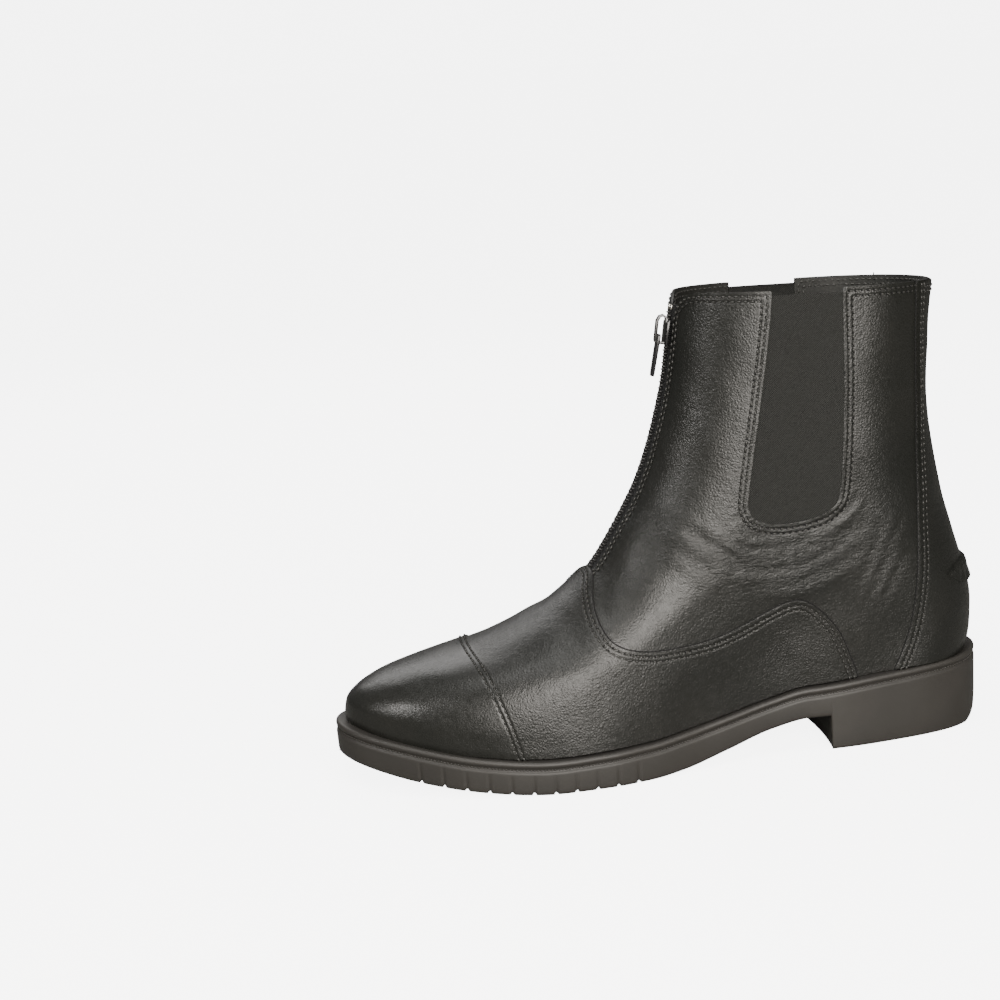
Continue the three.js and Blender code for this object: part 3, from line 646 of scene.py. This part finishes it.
# Elastic gores
# Two panels of woven elastic that let the shaft stretch, sewn behind the windows in the
# quarters. Fine ribs run across and up, and the top edge is a narrow woven band.
ELASTIC_DROP = 2.0                 # the elastic's top lies this far under the collar
ELASTIC_TUCK = 2.2                 # and its sides run this far behind the leather
RIB_PITCH, ROW_PITCH = .00092, .00078
elastic, nt, bsdf = new_material("elastic_woven")
tex = node(nt, "ShaderNodeTexCoord").outputs["Object"]
across = node(nt, "ShaderNodeSeparateXYZ")
nt.links.new(tex, across.inputs[0])
ribs, courses = (calc(nt, "SINE", calc(nt, "MULTIPLY", across.outputs[axis], 2 * math.pi / pitch))
                 for axis, pitch in (("X", RIB_PITCH), ("Z", ROW_PITCH)))
fuzz = node(nt, "ShaderNodeTexNoise", Scale=1500.0, Detail=2.0)
nt.links.new(tex, fuzz.inputs["Vector"])
weave = calc(nt, "ADD", calc(nt, "MULTIPLY", ribs, courses), fuzz.outputs["Fac"])
nt.links.new(ramp(nt, weave, (.006, .0062, .0058), (.036, .037, .034)),
             bsdf.inputs["Base Color"])
bsdf.inputs["Roughness"].default_value = .85
bsdf.inputs["Sheen Weight"].default_value = .06
bsdf.inputs["Specular IOR Level"].default_value = .2
nt.links.new(bumped(nt, weave, .8, .00025), bsdf.inputs["Normal"])
for name, u0, u1, solid in (("elastic_outer_weave", .13, .34, "elastic_outer"),
                            ("elastic_inner_weave", .66, .87, "elastic_inner")):
    v, f = grid(u0, u1, 9.5, TOP, 1.8)
    tucked = edge_distance(v, f, gore_line, gore_line) + ELASTIC_TUCK
    gv, gf = trimmed(v, f, np.minimum(tucked, below_collar(v) - ELASTIC_DROP), (.3, .8), NIP)
    gore = shell(name, gv, gf, rounded(-1.6, .6, .8), -1.75, elastic)
    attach(gore, "boot")
    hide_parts(solid)

# Zip tape
# Black woven tape sewn behind the quarters' front edges, which carries the coil.
# Its weave is fine ribs across its length.
TAPE_HALF = 3.3
tape_mat, nt, bsdf = new_material("zip_tape_weave")
weave = node(nt, "ShaderNodeTexWave", Scale=620.0, bands_direction="Z", Distortion=.6)
nt.links.new(node(nt, "ShaderNodeTexCoord").outputs["Object"], weave.inputs["Vector"])
nt.links.new(bumped(nt, weave.outputs["Fac"], .6, .0002), bsdf.inputs["Normal"])
bsdf.inputs["Base Color"].default_value = (.008, .008, .008, 1)
bsdf.inputs["Roughness"].default_value = .8
v, f = grid(-.07, .07, THROAT - .6, 18.72, .8)
tv, tf = trimmed(v, f, TAPE_HALF - np.abs(upper(v[:, 0], v[:, 1])[:, 1]), (.3,), NIP)
tape = shell("zip_tape_woven", tv, tf, rounded(-.85, .35, .5), -1.7, tape_mat)
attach(tape, "boot")
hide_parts("zip_tape")

# Zip coil
# A black nylon coil along the middle of the tape, sewn to it. Its loops come from each side
# in turn, and here each loop is one bead across the zip.
COIL_PITCH, LOOP_LONG, LOOP_RADIUS, LOOP_SWING = .00135, .0031, .00052, .00062
COIL_UP = .28                      # height of the coil's middle over the last, millimetres


def plastic(name, color, rough, coat=0.0, metal=0.0):
    """Plain moulded or cast stuff with a faint unevenness"""
    mat, nt, bsdf = new_material(name)
    bsdf.inputs["Base Color"].default_value = (*color, 1)
    bsdf.inputs["Roughness"].default_value = rough
    bsdf.inputs["Metallic"].default_value = metal
    bsdf.inputs["Coat Weight"].default_value = coat
    fine = node(nt, "ShaderNodeTexNoise", Scale=900.0, Detail=2.0)
    nt.links.new(node(nt, "ShaderNodeTexCoord").outputs["Object"], fine.inputs["Vector"])
    nt.links.new(bumped(nt, fine.outputs["Fac"], .1, .00005), bsdf.inputs["Normal"])
    return mat


def beads(name, material, pitch, length, radius, swing=0.0, uneven=.06, flat=1.0, turn=0.0):
    """Node tree: rounded beads laid along a curve, every pitch, from side to side by swing"""
    nt = bpy.data.node_groups.new(name, "GeometryNodeTree")
    face = nt.interface
    face.new_socket("Geometry", in_out="INPUT", socket_type="NodeSocketGeometry")
    face.new_socket("Geometry", in_out="OUTPUT", socket_type="NodeSocketGeometry")
    for key, value in (("Pitch", pitch), ("Length", length), ("Radius", radius),
                       ("Swing", swing), ("Uneven", uneven)):
        sock = face.new_socket(key, in_out="INPUT", socket_type="NodeSocketFloat")
        sock.default_value = value
    gi, go = nt.nodes.new("NodeGroupInput"), nt.nodes.new("NodeGroupOutput")
    link = nt.links.new
    pts = node(nt, "GeometryNodeCurveToPoints", mode="LENGTH")
    link(gi.outputs["Geometry"], pts.inputs["Curve"])
    link(gi.outputs["Pitch"], pts.inputs["Length"])
    index = nt.nodes.new("GeometryNodeInputIndex")
    odd = calc(nt, "MODULO", index.outputs[0], 2)
    shift = calc(nt, "MULTIPLY", calc(nt, "MULTIPLY_ADD", odd, 2, -1), gi.outputs["Swing"])
    vec = nt.nodes.new("ShaderNodeCombineXYZ")
    link(shift, vec.inputs["Y"])
    move = nt.nodes.new("GeometryNodeSetPosition")
    link(pts.outputs["Points"], move.inputs["Geometry"])
    link(vec.outputs[0], move.inputs["Offset"])
    ball = node(nt, "GeometryNodeMeshUVSphere", Segments=8, Rings=5, Radius=1.0)
    size = nt.nodes.new("ShaderNodeCombineXYZ")
    link(gi.outputs["Radius"], size.inputs["X"])
    link(gi.outputs["Radius"], size.inputs["Y"])
    link(calc(nt, "MULTIPLY", gi.outputs["Length"], .5), size.inputs["Z"])
    form = node(nt, "GeometryNodeTransform")
    link(ball.outputs["Mesh"], form.inputs["Geometry"])
    link(size.outputs[0], form.inputs["Scale"])
    form.inputs["Rotation"].default_value = (turn, 0, 0)
    rand = node(nt, "FunctionNodeRandomValue", data_type="FLOAT")
    rand.inputs["Seed"].default_value = 7
    link(calc(nt, "SUBTRACT", 1, gi.outputs["Uneven"]), rand.inputs[2])
    link(calc(nt, "ADD", 1, gi.outputs["Uneven"]), rand.inputs[3])
    inst = nt.nodes.new("GeometryNodeInstanceOnPoints")
    link(move.outputs["Geometry"], inst.inputs["Points"])
    link(form.outputs["Geometry"], inst.inputs["Instance"])
    link(pts.outputs["Rotation"], inst.inputs["Rotation"])
    link(rand.outputs[1], inst.inputs["Scale"])
    real = nt.nodes.new("GeometryNodeRealizeInstances")
    link(inst.outputs["Instances"], real.inputs["Geometry"])
    smooth = nt.nodes.new("GeometryNodeSetShadeSmooth")
    link(real.outputs["Geometry"], smooth.inputs["Geometry"])
    paint = nt.nodes.new("GeometryNodeSetMaterial")
    paint.inputs["Material"].default_value = material
    link(smooth.outputs["Geometry"], paint.inputs["Geometry"])
    link(paint.outputs["Geometry"], go.inputs["Geometry"])
    return nt


def along(name, lines, tree, body):
    """Plain mesh of the beads that the tree lays along the lines (millimetres)"""
    cu = bpy.data.curves.new(name + "_path", "CURVE")
    cu.dimensions = "3D"
    for line in lines:
        sp = cu.splines.new("POLY")
        sp.points.add(len(line) - 1)
        pts = np.asarray(line, float).copy()
        pts[:, 1] -= SHIFT
        sp.points.foreach_set("co", np.c_[pts / 1000, np.ones(len(pts))].ravel())
    path = bpy.data.objects.new(name + "_path", cu)
    bpy.context.scene.collection.objects.link(path)
    mod = path.modifiers.new("beads", "NODES")
    mod.node_group = tree
    ev = path.evaluated_get(bpy.context.evaluated_depsgraph_get())
    me = bpy.data.meshes.new_from_object(ev)
    bpy.data.objects.remove(path)
    ob = bpy.data.objects.new(name, me)
    bpy.context.scene.collection.objects.link(ob)
    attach(ob, body)
    return ob


ks = np.linspace(THROAT - .3, 18.55, 160)
zeros = np.zeros(len(ks))
coil_line = upper(zeros, ks) + facing(zeros, ks) * (COIL_UP + relief(upper(zeros, ks)))[:, None]
coil_tree = beads("zip_coil", plastic("zip_coil_black", (.012, .012, .012), .38), COIL_PITCH,
                  LOOP_LONG, LOOP_RADIUS, swing=LOOP_SWING, uneven=.0, turn=math.pi / 2)
coil = along("zip_coil_teeth", [coil_line], coil_tree, "boot")
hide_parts("zip_teeth")

# Slider and pull tab
# Cast metal slider with its bridge, and a stamped tab that swings from it, both with a
# glossy black finish. The tab hangs against the front as in the photograph.
black_metal = plastic("metal_black", (.010, .010, .011), .2, coat=.4)
CAST_ROUND = .00022                # rounding of their corners


def softened(source, name, width, material, body):
    """The solid's own mesh with its corners rounded"""
    me = bpy.data.objects[source].data.copy()
    ob = bpy.data.objects.new(name, me)
    bpy.context.scene.collection.objects.link(ob)
    m = ob.modifiers.new("weld", "WELD")
    m.merge_threshold = .00001
    m = ob.modifiers.new("round", "BEVEL")
    m.width, m.segments, m.limit_method, m.angle_limit = width, 2, "ANGLE", math.radians(35)
    m.harden_normals = False
    ev = ob.evaluated_get(bpy.context.evaluated_depsgraph_get())
    new = bpy.data.meshes.new_from_object(ev)
    ob.modifiers.clear()
    ob.data = new
    new.materials.clear()
    new.materials.append(material)
    new.polygons.foreach_set("use_smooth", np.ones(len(new.polygons), bool))
    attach(ob, body)
    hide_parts(source)
    return ob


softened("zip_slider", "slider_cast", CAST_ROUND, black_metal, "boot")
softened("zip_pull", "pull_tab", CAST_ROUND, black_metal, "pull")

# Zip stops
# Two small pale metal clamps squeezed over the tape's edges at the top, one on each side,
# which stop the slider.
pale_metal = plastic("metal_pale", (.62, .6, .56), .24, metal=1.0)
STOP_LEVEL, STOP_OFF, STOP_SIDES = 18.66, 1.75, 12
STOP_PROFILE = ((-1.1, .55), (-.8, .8), (.8, .8), (1.1, .55))      # place along, radius
zero, here = np.array([0.0]), np.array([STOP_LEVEL])
middle, out = upper(zero, here)[0], facing(zero, here)[0]
up = unit(upper(zero, np.array([18.9]))[0] - middle)
verts, faces = [], []
for side in (-1, 1):
    first, rings = len(verts), len(STOP_PROFILE)
    for a in np.linspace(0, 2 * math.pi, STOP_SIDES, endpoint=False):
        for b, w in STOP_PROFILE:
            verts.append(middle + out * (.55 + w * .75 * math.sin(a)) + up * b
                         + np.array([0, side * STOP_OFF + w * math.cos(a), 0]))
    for i in range(STOP_SIDES):
        for m in range(rings - 1):
            a = first + i * rings + m
            b = first + (i + 1) % STOP_SIDES * rings + m
            faces.append((a, b, b + 1, a + 1))
    faces.append(tuple(first + i * rings for i in range(STOP_SIDES - 1, -1, -1)))
    faces.append(tuple(first + i * rings + rings - 1 for i in range(STOP_SIDES)))
clamps = mesh("zip_stops", verts, faces, pale_metal)
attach(clamps, "boot")

# Spur rest
# A short strip of leather across the back of the heel that a spur's strap sits on, sewn to
# the back panel, its edge crimped in small pleats and its ends drawn to a point.
PLEATS, PLEAT_HIGH = 44, .28
SPUR = [(-120.5, 69.7), (-125, 72.9), (-131.4, 73.9), (-160, 70.2), (-160, 61.2),
        (-137.7, 61.9), (-130.3, 63.4), (-124, 66.7), (-120.5, 69.7)]
spur_line = np.array(SPUR, float)


def pleats(p, d):
    """Profile of the spur rest, crowned and crimped"""
    ripple = PLEAT_HIGH * np.sin(np.arctan2(p[:, 1], -p[:, 0] - 105) * PLEATS)
    return 1.3 + 1.7 * bow(d / 2.6) + ripple * np.clip(d, 0, 1) * np.clip((5.5 - d) / 3, 0, 1)


v, f = grid(.4, .6, 1, 13, .7)
pv, pf = trimmed(v, f, edge_distance(v, f, spur_line, spur_line), (.5, 1.2), NIP)
spur = shell("spur_rest_pleated", pv, pf, pleats, 1.0, leather("leather_spur", rows=()))
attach(spur, "boot")
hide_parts("spur_rest")

# Stitches
# Two rows of dark polished thread beside every folded edge, sewn through both layers, each
# stitch drawn down between its needle holes, where near-black beads are painted shade. A line
# of near-black beads along the foot of each folded edge is painted shadow.
STITCH_PITCH, STITCH_LONG, THREAD_RADIUS = .0027, .0019, .00044
# length and radius of the near-black beads of painted shade at the needle holes
HOLE_SHADE_LONG, HOLE_SHADE_RADIUS = .00085, .00046
QUARTER_UP, PANEL_UP, CAP_UP, LINING_UP = .2, 1.64, 2.44, -2.02    # rows over the last
SHADOW_AT, SHADOW_UP, CAP_SHADOW_UP = -.2, .1, .7       # line of painted shadow outside the edge, and its height
thread = plastic("thread_dark", (.03, .0295, .027), .36)


def rows_of(source, height, isos=ROWS, mask=None):
    """Lines at the distances isos from a panel's edge, where the mask shows them"""
    v, f, val = source
    lines = []
    for iso in isos:
        for line in contour(v, f, val, iso):
            p = upper(line[:, 0], line[:, 1])
            p = p + facing(line[:, 0], line[:, 1]) * (height + relief(p))[:, None]
            show = np.ones(len(line), bool) if mask is None else mask(line, p)
            cuts = np.flatnonzero(np.diff(show.astype(int))) + 1
            for part in np.split(np.arange(len(line)), cuts):
                if show[part[0]] and len(part) > 3:
                    lines.append(p[part])
    return lines


def clear_of_panels(line, p):
    """Where the quarters' rows aren't hidden under the back panel or the vamp"""
    q = p[:, [0, 2]]
    return ~inside(back_shape, q) & ~inside(wing_shape, q)


def clear_of_cap(line, p):
    """Where the vamp's rows aren't hidden under the toe cap"""
    return ~inside(cap_shape, p[:, [0, 2]])


stitch = beads("stitches", thread, STITCH_PITCH, STITCH_LONG, THREAD_RADIUS)
rows = rows_of(quarter_field, QUARTER_UP, mask=clear_of_panels)
rows += rows_of(vamp_field, PANEL_UP, mask=clear_of_cap)
rows += rows_of(cap_field, CAP_UP)
rows += rows_of(back_field, PANEL_UP, mask=lambda line, p: line[:, 1] < TOP - .12)
back_top = np.concatenate([back_field[0], back[:, None]], 1), back_field[1], back_rim
rows += rows_of(back_top, PANEL_UP, isos=(2.6, 4.6), mask=lambda line, p: line[:, 2] > 5)
along("stitch_rows", rows, stitch, "boot")
# Painted shade: a near-black bead at each needle hole, in place of the hole's own shadow
painted_shade_black = plastic("needle_hole_painted_shade", (.002, .002, .002), .9)
hole_shade_tree = beads("needle_hole_painted_shades", painted_shade_black, STITCH_PITCH, HOLE_SHADE_LONG, HOLE_SHADE_RADIUS, uneven=.1)
begin = [line[2:] for line in rows if len(line) > 8]
along("stitch_holes", begin, hole_shade_tree, "boot")
# Painted shadow: a near-black line of beads just outside each folded edge, where the edge's own
# shadow falls
shadow_lines = rows_of(vamp_field, SHADOW_UP, isos=(SHADOW_AT,), mask=clear_of_cap)
shadow_lines += rows_of(cap_field, CAP_SHADOW_UP, isos=(SHADOW_AT,))
shadow_lines += rows_of(back_field, SHADOW_UP, isos=(SHADOW_AT,))
shade = beads("edge_painted_shadow", painted_shade_black, .0016, .0021, .00034, uneven=.02)
along("edge_gaps", shadow_lines, shade, "boot")
inner_rows = rows_of(quarter_field, LINING_UP, mask=lambda line, p: line[:, 1] > 15)
along("stitch_rows_inside", inner_rows, stitch, "boot")

# Insole
# A thin board covered in dark leather, laid inside the foot on the sole. The photograph
# doesn't show it, so it keeps the plain form of its solid.
board = leather("insole_cover", rows=(), tone=1.6, rough=.6)
inner = bpy.data.objects["insole"]
inner.data.materials.clear()
inner.data.materials.append(board)

# Outsole
# One moulded rubber unit: forepart, raised waist and heel, with a rounded welt edge that
# carries moulded stitches, short slots along both lower edges of the forepart, and shallow
# bars of tread. It is glued on under the upper.
HEEL_LENGTH = 77.0
PLAN_S = [0, .012, .035, .08, .15, .25, .35, .45, .55, .62, .68, .75, .82, .88, .94, .98, 1]
PLAN_OUT = [0, 11.6, 20.2, 27.2, 31.5, 34.1, 33.1, 36.9, 43.8, 47.5, 48.1, 45.8, 40.3, 33,
            22.2, 11.2, -5]
PLAN_IN = [0, 12, 21, 29, 32.5, 30.5, 27, 26.5, 32, 39, 44, 46.4, 44.6, 40, 30.4, 20.4, 5]
EDGE = [(6.0, -.3), (3.4, -.3), (2.2, -.12), (1.2, -.05), (.6, -.2), (.2, -.6), (0, -1.2),
        (.02, -1.8), (.25, -2.3), (.6, -2.65), (.75, -3.1), (.75, -3.7), (.6, -4.15),
        (.25, -4.45), (.05, -4.9), (0, -5.6)]  # inset and height from the seat
WALL_FOOT = [(.25, 2.4), (.35, 1.2), (.55, .45), (.95, .1), (1.7, 0)]      # inset and rise
HEEL_WALL = [(.12, 8.0), (.35, 3.0), (.5, 1.4), (.65, .5), (1.0, .1), (1.7, 0)]
SLOT_PITCH, SLOT_HALF, SLOT_UP, SLOT_IN = 9.0, .6, 1.0, 6.5
TREAD_HIGH = .55
STATIONS = 620
rubber, nt, bsdf = new_material("rubber_dark")
tex = node(nt, "ShaderNodeTexCoord").outputs["Object"]
cast = node(nt, "ShaderNodeTexNoise", Scale=45.0, Detail=4.0)
skin = node(nt, "ShaderNodeTexNoise", Scale=700.0, Detail=4.0)
for t in (cast, skin):
    nt.links.new(tex, t.inputs["Vector"])
nt.links.new(ramp(nt, cast.outputs["Fac"], (.0187, .01742, .0153), (.0323, .02975, .02635)),
             bsdf.inputs["Base Color"])
bsdf.inputs["Roughness"].default_value = .52
nt.links.new(bumped(nt, skin.outputs["Fac"], .35, .00012), bsdf.inputs["Normal"])


def bands(count, rings):
    """Four-sided faces between rings of points that follow one another"""
    a = np.arange(count)
    b = (a + 1) % count
    return np.concatenate([np.stack([a, b, b + count, a + count], 1) + j * count
                           for j in range(rings - 1)])


# the plan, as one ring of points with the way out at each
turn_at = np.linspace(0, np.pi, STATIONS + 1)
plan_t = np.arccos(1 - 2 * np.array(PLAN_S))
xs = (1 - np.cos(turn_at)) / 2 * LENGTH - LENGTH / 2
ring = np.concatenate([np.c_[xs, curve(plan_t, PLAN_OUT, turn_at)],
                       np.c_[xs, -curve(plan_t, PLAN_IN, turn_at)][::-1][1:-1]])
n_ring = len(ring)
tangent = np.roll(ring, -2, 0) - np.roll(ring, 2, 0)
normal = unit(np.c_[-tangent[:, 1], tangent[:, 0]])
if (normal * ring).sum() < 0:
    normal = -normal

# the wall, and the underside in toward the middle line
slots = np.arange(22, 121, SLOT_PITCH)
cut = np.exp(-(np.abs(ring[:, None, 0] - slots[None]).min(1) / SLOT_HALF) ** 4)
floor_z = under(ring[:, 0]) + np.clip((-LENGTH / 2 + 10 - ring[:, 0]) * .4, 0, 4)
columns = [np.c_[ring - normal * inset, seat(ring[:, 0]) + drop] for inset, drop in EDGE]
for inset, rise in WALL_FOOT:
    columns.append(np.c_[ring - normal * (inset + .5 * cut)[:, None],
                         floor_z + rise * (1 - .2 * cut) + SLOT_UP * cut])
middle = np.c_[ring[:, 0], (ring[:, 1] + np.r_[ring[0, 1], ring[:0:-1, 1]]) / 2]
for share in np.linspace(.08, 1, 22):
    foot = (ring - normal * WALL_FOOT[-1][0]) * (1 - share) + middle * share
    edge_in = np.linalg.norm(foot - ring, axis=1)
    slot_in = cut * np.clip(SLOT_IN - edge_in, 0, 1)
    tread = TREAD_HIGH * (np.sin(foot[:, 0] * 1.1 + np.abs(foot[:, 1]) * .5) > .35)
    tread = tread * np.clip((edge_in - 8) / .8, 0, 1) * (foot[:, 0] > 16) * (foot[:, 0] < 122)
    columns.append(np.c_[foot, floor_z * (1 - share) + under(foot[:, 0]) * share
                         + SLOT_UP * slot_in + tread])
body, faces = np.concatenate(columns), bands(n_ring, len(columns))

# the top plate, closed on the middle line
plate = [np.c_[(ring - normal * 6) * (1 - t) + middle * t, seat(ring[:, 0]) - .35]
         for t in (0, 1)]
faces = np.concatenate([faces, bands(n_ring, 2)[:, [1, 0, 3, 2]] + len(body)])
body = np.concatenate([body] + plate)

# the heel block, its wall flush under the welt and its breast a shallow hollow
heel_front = HEEL_LENGTH - LENGTH / 2
heel = ring[:, 0] < heel_front
order = np.r_[np.flatnonzero(heel & (np.arange(n_ring) > STATIONS)),
              np.flatnonzero(heel & (np.arange(n_ring) <= STATIONS))]
side_ring, side_out = ring[order], normal[order]
w = np.linspace(0, 1, 40)[1:-1]
breast = np.c_[heel_front - 2.7 * (1 - (2 * w - 1) ** 2),
               side_ring[-1, 1] + (side_ring[0, 1] - side_ring[-1, 1]) * w]
loop = np.concatenate([side_ring, breast])
loop_out = np.concatenate([side_out, np.tile([1.0, 0], (len(breast), 1))])
n_loop = len(loop)
on_side = np.arange(n_loop) < len(side_ring)
lift = np.clip((-LENGTH / 2 + 10 - loop[:, 0]) * .4, 0, 4)
block_top = np.where(on_side, seat(loop[:, 0]) - 5.7, under(loop[:, 0]) + 1.5)
block = [np.c_[loop + loop_out * .01, block_top]]
for inset, rise in HEEL_WALL:
    block.append(np.c_[loop - loop_out * np.where(on_side, inset, inset * .6)[:, None],
                       np.minimum(rise + lift, block_top - .2)])
centre = np.tile(loop.mean(0), (n_loop, 1))
block.append(np.c_[centre * .7 + loop * .3, lift * .3])
block.append(np.c_[centre, lift * 0])
faces = np.concatenate([faces, bands(n_loop, len(block)) + len(body)])
body = np.concatenate([body] + block)
sole = mesh("outsole_moulded", body, faces, rubber)
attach(sole, "boot")
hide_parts("outsole")
welt = np.c_[ring - normal * .62, seat(ring[:, 0]) - 3.4]
welt = np.concatenate([welt, welt[:1]])
welt_tree = beads("welt_stitches", rubber, .00145, .0012, .00042, uneven=.03)
along("welt_stitches", [welt], welt_tree, "boot")

# Camera
# The photograph looks at the outer side from a little in front of square and 12.6 degrees
# up, with a slight roll, at a boot that sits right of and below the middle.
TURN, PITCH, ROLL, FAR = 9.147, 12.604, 3.646, 867.688
AIM_UP = 91.65                     # height of the point that the camera is fitted to
PICTURE, SEEN_X, SEEN_Y, FOCAL_PX = 1000, 651.832, 550.131, 2017.0
SENSOR = 36
psi, tip, roll = (math.radians(a) for a in (TURN, PITCH, ROLL))
away = Vector((math.sin(psi) * math.cos(tip), math.cos(psi) * math.cos(tip), math.sin(tip)))
right = (-away).cross(Vector((0, 0, 1))).normalized()
top = right.cross(-away)
spot = Vector((0, -SHIFT, AIM_UP)) + away * FAR
spot -= right * ((SEEN_X - PICTURE / 2) / FOCAL_PX * FAR)
spot += top * ((SEEN_Y - PICTURE / 2) / FOCAL_PX * FAR)
ax = right * math.cos(roll) - top * math.sin(roll)
ay = right * math.sin(roll) + top * math.cos(roll)
cam = bpy.data.objects.new("camera", bpy.data.cameras.new("camera"))
cam.data.sensor_width = cam.data.sensor_height = SENSOR
cam.data.sensor_fit = "HORIZONTAL"
cam.data.lens = FOCAL_PX / PICTURE * SENSOR
cam.data.clip_start, cam.data.clip_end = .01, 30
turn = Matrix((ax, ay, away)).transposed().to_4x4()
cam.matrix_world = Matrix.Translation(spot / 1000) @ turn
bpy.context.scene.collection.objects.link(cam)
bpy.context.scene.camera = cam

# Stage and lights
# A plain white sweep that is bright to the camera alone, so that it doesn't flood the black
# leather, under a dim sky and four soft lamps: from the side, the front, above and behind.
BACKDROP = 6.0                     # brightness of the sweep and the air behind it


def for_camera(nt, shown, lighting, socket):
    """Shader that the camera sees, with another for all other rays"""
    pick = nt.nodes.new("ShaderNodeMixShader")
    nt.links.new(nt.nodes.new("ShaderNodeLightPath").outputs["Is Camera Ray"], pick.inputs[0])
    nt.links.new(lighting.outputs[0], pick.inputs[1])
    nt.links.new(shown.outputs[0], pick.inputs[2])
    nt.links.new(pick.outputs[0], socket)


floor_mat, nt, white = new_material("floor_white")
white.inputs["Base Color"].default_value = (.9, .9, .9, 1)
white.inputs["Roughness"].default_value = .9
white.inputs["Emission Color"].default_value = (1, 1, 1, 1)
white.inputs["Emission Strength"].default_value = BACKDROP - .3
dull = node(nt, "ShaderNodeBsdfDiffuse", Color=(.22, .22, .21, 1))
for_camera(nt, white, dull, nt.nodes["Material Output"].inputs["Surface"])
fm = bpy.data.meshes.new("floor")
fm.from_pydata([(-40, -40, 0), (40, -40, 0), (40, 40, 0), (-40, 40, 0)], [], [(0, 1, 2, 3)])
floor = bpy.data.objects.new("floor", fm)
floor.data.materials.append(floor_mat)
bpy.context.scene.collection.objects.link(floor)
world = bpy.data.worlds.new("studio")
world.use_nodes = True
nt = world.node_tree
air = nt.nodes["Background"]
air.inputs["Color"].default_value = (1, .985, .96, 1)
height = node(nt, "ShaderNodeSeparateXYZ")
nt.links.new(nt.nodes.new("ShaderNodeTexCoord").outputs["Generated"], height.inputs[0])
fall = node(nt, "ShaderNodeMapRange")
for key, value in (("From Min", -.1), ("From Max", .9), ("To Min", .1), ("To Max", .3)):
    fall.inputs[key].default_value = value
nt.links.new(height.outputs["Z"], fall.inputs["Value"])
nt.links.new(fall.outputs[0], air.inputs["Strength"])
sweep = node(nt, "ShaderNodeBackground", Color=(1, 1, 1, 1), Strength=BACKDROP)
for_camera(nt, sweep, air, nt.nodes["World Output"].inputs["Surface"])
bpy.context.scene.world = world
for name, turned_by, up_by, far, size, power, color in (
        ("key", 93, 17, 1.5, (1.15, 1.05), 44, (1, .95, .89)),
        ("front", 24, 25, 1.3, (.22, .22), 5, (1, .97, .94)),
        ("over", 70, 78, 1.2, (.8, .8), 8.5, (1, .98, .95)),
        ("far_side", -78, 34, 1.3, (.9, .6), 4.6, (1, .98, .96))):
    lamp = bpy.data.lights.new(name, "AREA")
    lamp.shape = "RECTANGLE"
    lamp.size, lamp.size_y = size
    lamp.energy, lamp.color = power, color
    ob = bpy.data.objects.new(name, lamp)
    az, el = math.radians(turned_by), math.radians(up_by)
    ray = Vector((math.cos(az) * math.cos(el), math.sin(az) * math.cos(el), math.sin(el)))
    ob.location = Vector((0, 0, .08)) + ray * far
    ob.rotation_euler = ray.to_track_quat("Z", "Y").to_euler()
    ob.visible_camera = False
    bpy.context.scene.collection.objects.link(ob)
